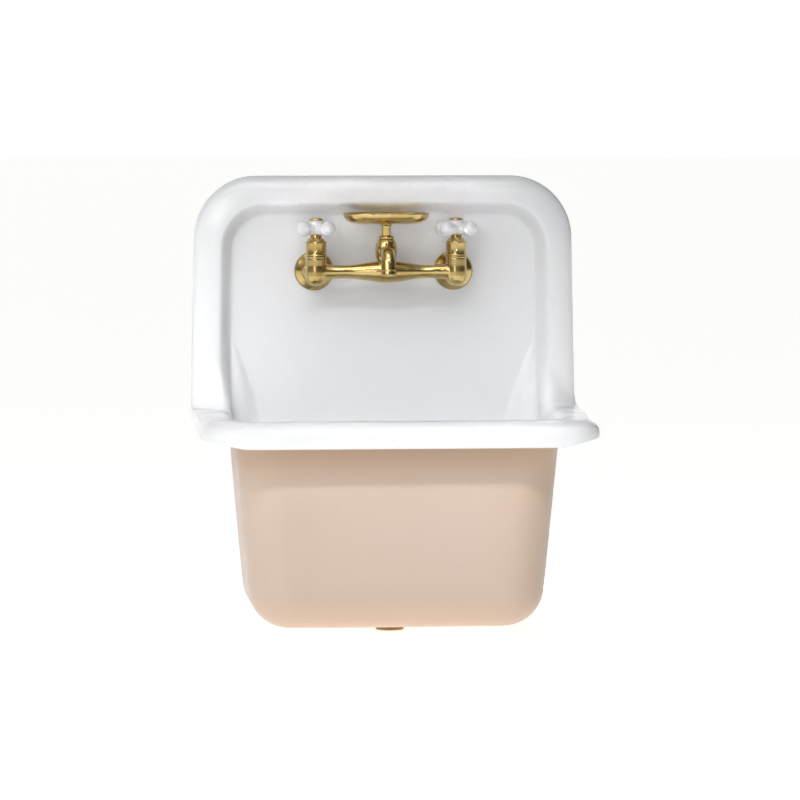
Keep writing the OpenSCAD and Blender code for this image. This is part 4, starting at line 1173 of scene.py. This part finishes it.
# %% [markdown]
# ## The spout
# The spout is a short bent nozzle on an egg-shaped hub. It swivels on the bridge's spigot, held by a
# cap. The nozzle's bend is a quarter turn of a circle, spun sideways.

# %% Spout sizes
HUB_Z = 16
HUB_TOP_Z = 47.3
LEG_Z = 26.5
ELBOW_R = 18
SPOUT_REACH = 42
NOZZLE_R = 10.4
SPOUT_LEAN = 10
COLLAR_L = 9.5
ROD_SEGMENTS = 40
BEND_STEPS = 18
WATERWAY_R = 5.5
OUTLET_TURN = Matrix.Rotation(math.radians(-SPOUT_LEAN), 4, "X")
BEND_CENTRE = Matrix.Translation((0, (ELBOW_R - SPOUT_REACH) * MM, (LEG_Z - ELBOW_R) * MM))
AT_OUTLET = AT_HUB @ BEND_CENTRE @ OUTLET_TURN @ Matrix.Translation((0, -ELBOW_R * MM, 0))


def bent_rod(bm, radius, start):
    """A round rod that runs forward from the hub and bends down to the outlet."""
    part = bmesh.new()
    bmesh.ops.create_circle(part, cap_ends=True, radius=radius * MM, segments=ROD_SEGMENTS)
    bmesh.ops.rotate(part, verts=part.verts, matrix=Matrix.Rotation(math.pi / 2, 3, "X"))
    bmesh.ops.translate(part, verts=part.verts, vec=(0, -start * MM, LEG_Z * MM))
    leg = bmesh.ops.extrude_face_region(part, geom=part.faces[:])["geom"]
    moved = [g for g in leg if isinstance(g, bmesh.types.BMVert)]
    bmesh.ops.translate(part, verts=moved, vec=(0, -(SPOUT_REACH - ELBOW_R - start) * MM, 0))
    end_face = [g for g in leg if isinstance(g, bmesh.types.BMFace)]
    bmesh.ops.spin(part, geom=end_face, cent=(0, (ELBOW_R - SPOUT_REACH) * MM, (LEG_Z - ELBOW_R) * MM),
                   axis=(1, 0, 0), dvec=(0, 0, 0), angle=math.radians(90 - SPOUT_LEAN),
                   steps=BEND_STEPS, use_merge=False, use_duplicate=False)
    bmesh.ops.recalc_face_normals(part, faces=part.faces[:])
    join(bm, part, AT_HUB)


# %% [markdown]
# ### The spout's casting
# Hub, nozzle and end collar overlap as closed shapes and are fused like the bridge, which fills the
# corner where the nozzle leaves the hub. Then the hub is bored to turn on the spigot and the outlet gets
# its waterway.

# %% Spout casting
bm = bmesh.new()
hub = [(0, HUB_Z), (13.2, HUB_Z), (14.2, HUB_Z + 2), (15.6, HUB_Z + 9), (16, HUB_Z + 16),
       (15.4, HUB_Z + 22), (13.8, HUB_Z + 27), (11.6, HUB_TOP_Z), (0, HUB_TOP_Z)]
spun(bm, hub, 64, place=AT_HUB)
bent_rod(bm, NOZZLE_R, 1)
spun(bm, [(0, -COLLAR_L), (NOZZLE_R + 0.2, -COLLAR_L), (NOZZLE_R + 0.1, 1), (0, 1)], 48, place=AT_OUTLET)
spout_mesh = fused(bm, 0.5, 6)
cutter = bmesh.new()
spun(cutter, [(0, 5), (15.6, 5), (15.6, HUB_Z + 0.05), (SPIGOT_R + 0.1, HUB_Z + 0.05),
              (SPIGOT_R + 0.1, HUB_TOP_Z + 5), (0, HUB_TOP_Z + 5)], 64, place=AT_HUB)
spun(cutter, [(0, -COLLAR_L - 2), (WATERWAY_R, -COLLAR_L - 2), (WATERWAY_R, 6), (0, 6)], 32,
     place=AT_OUTLET)
dress(bored(spout_mesh, cutter), "spout_casting", [BRASS], "spout_body", ["spout"], sharp=50)

# %% [markdown]
# ### The outlet
# The aerator's housing is a ring screwed on the nozzle's end. It is spun as a closed profile at the
# outlet, which leans forward with the nozzle, so the place is a matrix and nothing is turned by hand.

# %% Outlet
outlet_low = -COLLAR_L - 6.5
aerator = [(7.6, outlet_low), (10.4, outlet_low), (10.9, outlet_low + 0.5), (10.9, outlet_low + 5.0),
           (10.5, outlet_low + 5.5), (10.0, outlet_low + 5.9), (10.0, outlet_low + 6.5),
           (WATERWAY_R, outlet_low + 6.5), (WATERWAY_R, outlet_low + 5.0), (7.6, outlet_low + 5.0)]
turned("aerator_dressed", "aerator_housing", aerator, 80, 0.2, 2, AT_OUTLET, body="spout_body")

# %% [markdown]
# ### Cap, post and screw
# The cap sits on the spigot and keeps the spout down. A post rises through it, flares at its top and
# carries the soap dish, and a flat-headed screw holds the dish from above. All three stand still while
# the spout turns, so they ride on the basin. Each is one profile on the hub's axis.

# %% Cap, post and screw
CAP_R = 11
CAP_BORE = 4.15
POST_Z = top_of("spout_cap")
DISH_Z = top_of("soap_dish_post")
POST_R = 6.6
POST_SCREW_R = 4
POST_LOW = 37
cap = [(CAP_BORE, SPIGOT_TOP), (10.6, SPIGOT_TOP), (CAP_R, SPIGOT_TOP + 0.5), (CAP_R, 50.2), (10.4, 51.2),
       (9.6, 51.6), (9.2, POST_Z), (CAP_BORE, POST_Z)]
post = [(0, POST_LOW), (POST_SCREW_R, POST_LOW), (POST_SCREW_R, POST_Z), (POST_R, POST_Z),
        (POST_R, DISH_Z - 5.5), (POST_R + 0.4, DISH_Z - 3.6), (POST_R + 1.3, DISH_Z - 2),
        (POST_R + 2.6, DISH_Z - 0.9), (POST_R + 3, DISH_Z), (0, DISH_Z)]
screw_head = [(0, DISH_Z + 2.4), (4, DISH_Z + 2.4), (4, DISH_Z + 2.9), (3.2, DISH_Z + 3.6),
              (1.6, DISH_Z + 4), (0, DISH_Z + 4)]
turned("spout_cap_dressed", "spout_cap", cap, 80, 0.25, 3, AT_HUB)
turned("dish_post_dressed", "soap_dish_post", post, 64, 0.3, 3, AT_HUB, closed=False)
turned("dish_screw_dressed", "dish_screw", screw_head, 40, 0.2, 2, AT_HUB, closed=False)

# %% [markdown]
# ## The soap dish
# The dish is pressed brass with round ends. Its outline is two half circles joined by straight sides.
# A spun bowl is cut in half and the halves are pulled apart: the spin makes the round ends and a bridge
# between the halves makes the sides.

# %% Soap dish
dish_low, dish_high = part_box("soap_dish")
DISH_L = (dish_high.x - dish_low.x) / MM
DISH_W = (dish_high.y - dish_low.y) / MM
DISH_H = (dish_high.z - dish_low.z) / MM
DISH_STEPS = 64
SHIFT = (DISH_L - DISH_W) / 2 * MM
half = DISH_W / 2
dish_profile = [(0, 0), (half - 22, 0), (half - 12, 0.09 * DISH_H), (half - 5, 0.3 * DISH_H),
                (half - 1.2, 0.61 * DISH_H), (half - 0.1, 0.86 * DISH_H), (half, DISH_H - 1),
                (half - 0.4, DISH_H - 0.3), (half - 1.1, DISH_H), (half - 1.9, DISH_H - 0.4),
                (half - 2.3, DISH_H - 1.4), (half - 3.2, 0.63 * DISH_H), (half - 7, 0.37 * DISH_H),
                (half - 14, 0.2 * DISH_H), (half - 23, 2.4), (0, 2.4)]
bm = bmesh.new()
spun(bm, dish_profile, DISH_STEPS)
bmesh.ops.bisect_plane(bm, geom=bm.verts[:] + bm.edges[:] + bm.faces[:], plane_co=(0, 0, 0),
                       plane_no=(1, 0, 0), dist=0.001 * MM)
seam = [e for e in bm.edges if all(abs(v.co.x) < 0.01 * MM for v in e.verts)]
bmesh.ops.split_edges(bm, edges=seam)
for vert in bm.verts:
    centre = sum((f.calc_center_median().x for f in vert.link_faces), 0.0)
    vert.co.x += math.copysign(SHIFT, centre)
cut_edges = [e for e in bm.edges if e.is_boundary]
bmesh.ops.bridge_loops(bm, edges=cut_edges)
bmesh.ops.remove_doubles(bm, verts=bm.verts[:], dist=0.005 * MM)
bmesh.ops.recalc_face_normals(bm, faces=bm.faces[:])
dish_open = sum(not e.is_manifold for e in bm.edges)
bm.transform(AT_HUB @ Matrix.Translation((0, 0, DISH_Z * MM)))
make_piece(bm, "soap_dish_dressed", [BRASS], "basin_body", ["soap_dish"], sharp=60)
print("open edges in the dish", dish_open)

# %% [markdown]
# ## Drain and shanks
# The threaded pieces sit out of sight, but they show from below and from behind. A thread is a spiral on
# the real tube. At this size level ridges look the same and stay easy to spin.

# %% Thread helper
THREAD_PITCH = 1.5
THREAD_DEPTH = 0.7


def thread(outer, low, high):
    """The outline of a threaded length, as ridges between two heights."""
    points = []
    count = int((high - low) / THREAD_PITCH)
    for k in range(count):
        z = low + k * THREAD_PITCH
        points += [(outer - THREAD_DEPTH, z), (outer - THREAD_DEPTH, z + 0.1 * THREAD_PITCH),
                   (outer, z + 0.45 * THREAD_PITCH), (outer, z + 0.6 * THREAD_PITCH)]
    return points + [(outer - THREAD_DEPTH, low + count * THREAD_PITCH)]


# %% [markdown]
# ### The strainer
# A flanged brass tube stands in the drain hole, with a cross bar inside that takes the grid's screw. Its
# flange lies on the enamel, its thread reaches out below the bowl, and a thin wide locknut pulls it
# tight. Tube and flange are one closed profile. The bar is a prism with a hole cut through it.

# %% Strainer body and its locknut
AT_DRAIN = Matrix.Translation((0, -DRAIN_Y * MM, CREST_Z))
TUBE_R = 20.5
TUBE_END = -BOWL_H - 15
TAIL_BORE = 17
TUBE_BORE = 16.5
GRID_R = 18.5
FLANGE_R = 31
FLANGE_Z = FLOOR_Z + 1.5
GRID_Z = FLANGE_Z - 4
NUT_Z = -BOWL_H - 3.3
NUT_T = 6
BAR_L = 35
BAR_SCREW_R = 2.4
LOOSE = 0.15
strainer = [(TAIL_BORE, TUBE_END)] + thread(TUBE_R, TUBE_END, -BOWL_H + 1) + [
    (TUBE_R, -BOWL_H + 2), (TUBE_R, FLANGE_Z), (FLANGE_R - 0.4, FLANGE_Z), (FLANGE_R, FLANGE_Z + 0.4),
    (FLANGE_R, FLANGE_Z + 1), (FLANGE_R - 0.8, FLANGE_Z + 1.9), (FLANGE_R - 2.4, FLANGE_Z + 2.7),
    (FLANGE_R - 3.6, FLANGE_Z + 3), (GRID_R + 0.4, FLANGE_Z + 3), (GRID_R, FLANGE_Z + 2.6),
    (GRID_R, GRID_Z), (TUBE_BORE, GRID_Z), (TUBE_BORE, TUBE_END + 13), (TAIL_BORE, TUBE_END + 13)]
bm = bmesh.new()
prism(bm, [(-3.5, -5), (3.5, -5), (3.5, 0), (-3.5, 0)], BAR_L, 0.4)
bm.transform(Matrix.Translation((0, 0, GRID_Z * MM)))
cutter = bmesh.new()
spun(cutter, [(0, GRID_Z - 8), (BAR_SCREW_R, GRID_Z - 8), (BAR_SCREW_R, GRID_Z + 2), (0, GRID_Z + 2)], 32)
cross_bar = bored(to_mesh(bm, "cross_bar"), cutter)
bm = bmesh.new()
bm.from_mesh(cross_bar)
spun(bm, strainer, 96, closed=True)
bm.transform(AT_DRAIN)
make_piece(bm, "strainer_dressed", [DULL_BRASS], "basin_body", ["strainer_body"])
bm = bmesh.new()
nut(bm, TUBE_R + 5.5, NUT_Z - NUT_T, NUT_Z, TUBE_R + LOOSE, AT_DRAIN)
make_piece(bm, "drain_locknut_dressed", [DULL_BRASS], "basin_body", ["drain_locknut"])

# %% [markdown]
# ### The shanks
# A shank is the threaded tube that carries the water through the panel. Its head lies under the union
# nut, its plain middle passes the escutcheon, and its threaded end stands out behind the wall, where the
# supply is screwed on. A locknut on the back of the panel holds it.

# %% Shanks and their locknuts
SHANK_R = 10.3
INLET_R = 6
SHANK_END = -17.2
THREAD_END = 4.8
RELIEF_R = 9.3
HEAD_Y = 36
HEAD_FRONT = front_of("union_washers") - 1.2
SHANK_HEAD_R = 13.6
LOCKNUT_ACROSS = 16
LOCKNUT_LOW = 6
LOCKNUT_HIGH = 13
shank = [(INLET_R, SHANK_END)] + thread(SHANK_R, SHANK_END, THREAD_END) + [
    (RELIEF_R, THREAD_END), (RELIEF_R, LOCKNUT_LOW), (SHANK_R, LOCKNUT_LOW), (SHANK_R, HEAD_Y),
    (SHANK_HEAD_R, HEAD_Y), (SHANK_HEAD_R, HEAD_FRONT), (INLET_R, HEAD_FRONT)]
for side in ("hot", "cold"):
    turned(f"{side}_shank_dressed", f"{side}_shank", shank, 64, 0, 3, AT_SUPPLY[side], material=DULL_BRASS)
    bm = bmesh.new()
    nut(bm, LOCKNUT_ACROSS, LOCKNUT_LOW, LOCKNUT_HIGH, SHANK_R + LOOSE, AT_SUPPLY[side])
    make_piece(bm, f"{side}_shank_locknut_dressed", [DULL_BRASS], "basin_body", [f"{side}_shank_locknut"])

# %% [markdown]
# ## Pieces that keep their CAD mesh
# The small pieces inside the valves, the spout and the drain, and the washers behind the panel, have the
# right shape already. They keep the mesh of their solid, and the material slot in the frame's record says
# which finish each one gets. Replaced nodes get one too, because nothing may be left without a material.

# %% Finishes for the CAD nodes
BY_SLOT = {"enamelled_iron": ENAMEL, "hanger_steel": HANGER_PAINT, "rubber_seal": RUBBER,
           "plain_washer": ZINC, "valve_ceramic": CERAMIC, "porcelain": PORCELAIN, "steel_small": STEEL,
           "drain_brass": DULL_BRASS, "satin_brass": BRASS}
for part in frame["record"]["subparts"]:
    node = frame["nodes"][part["node"]]
    node.data.materials.clear()
    node.data.materials.append(BY_SLOT[part["material_slot"]])
print("dressed", len(frame["nodes"]), "nodes")
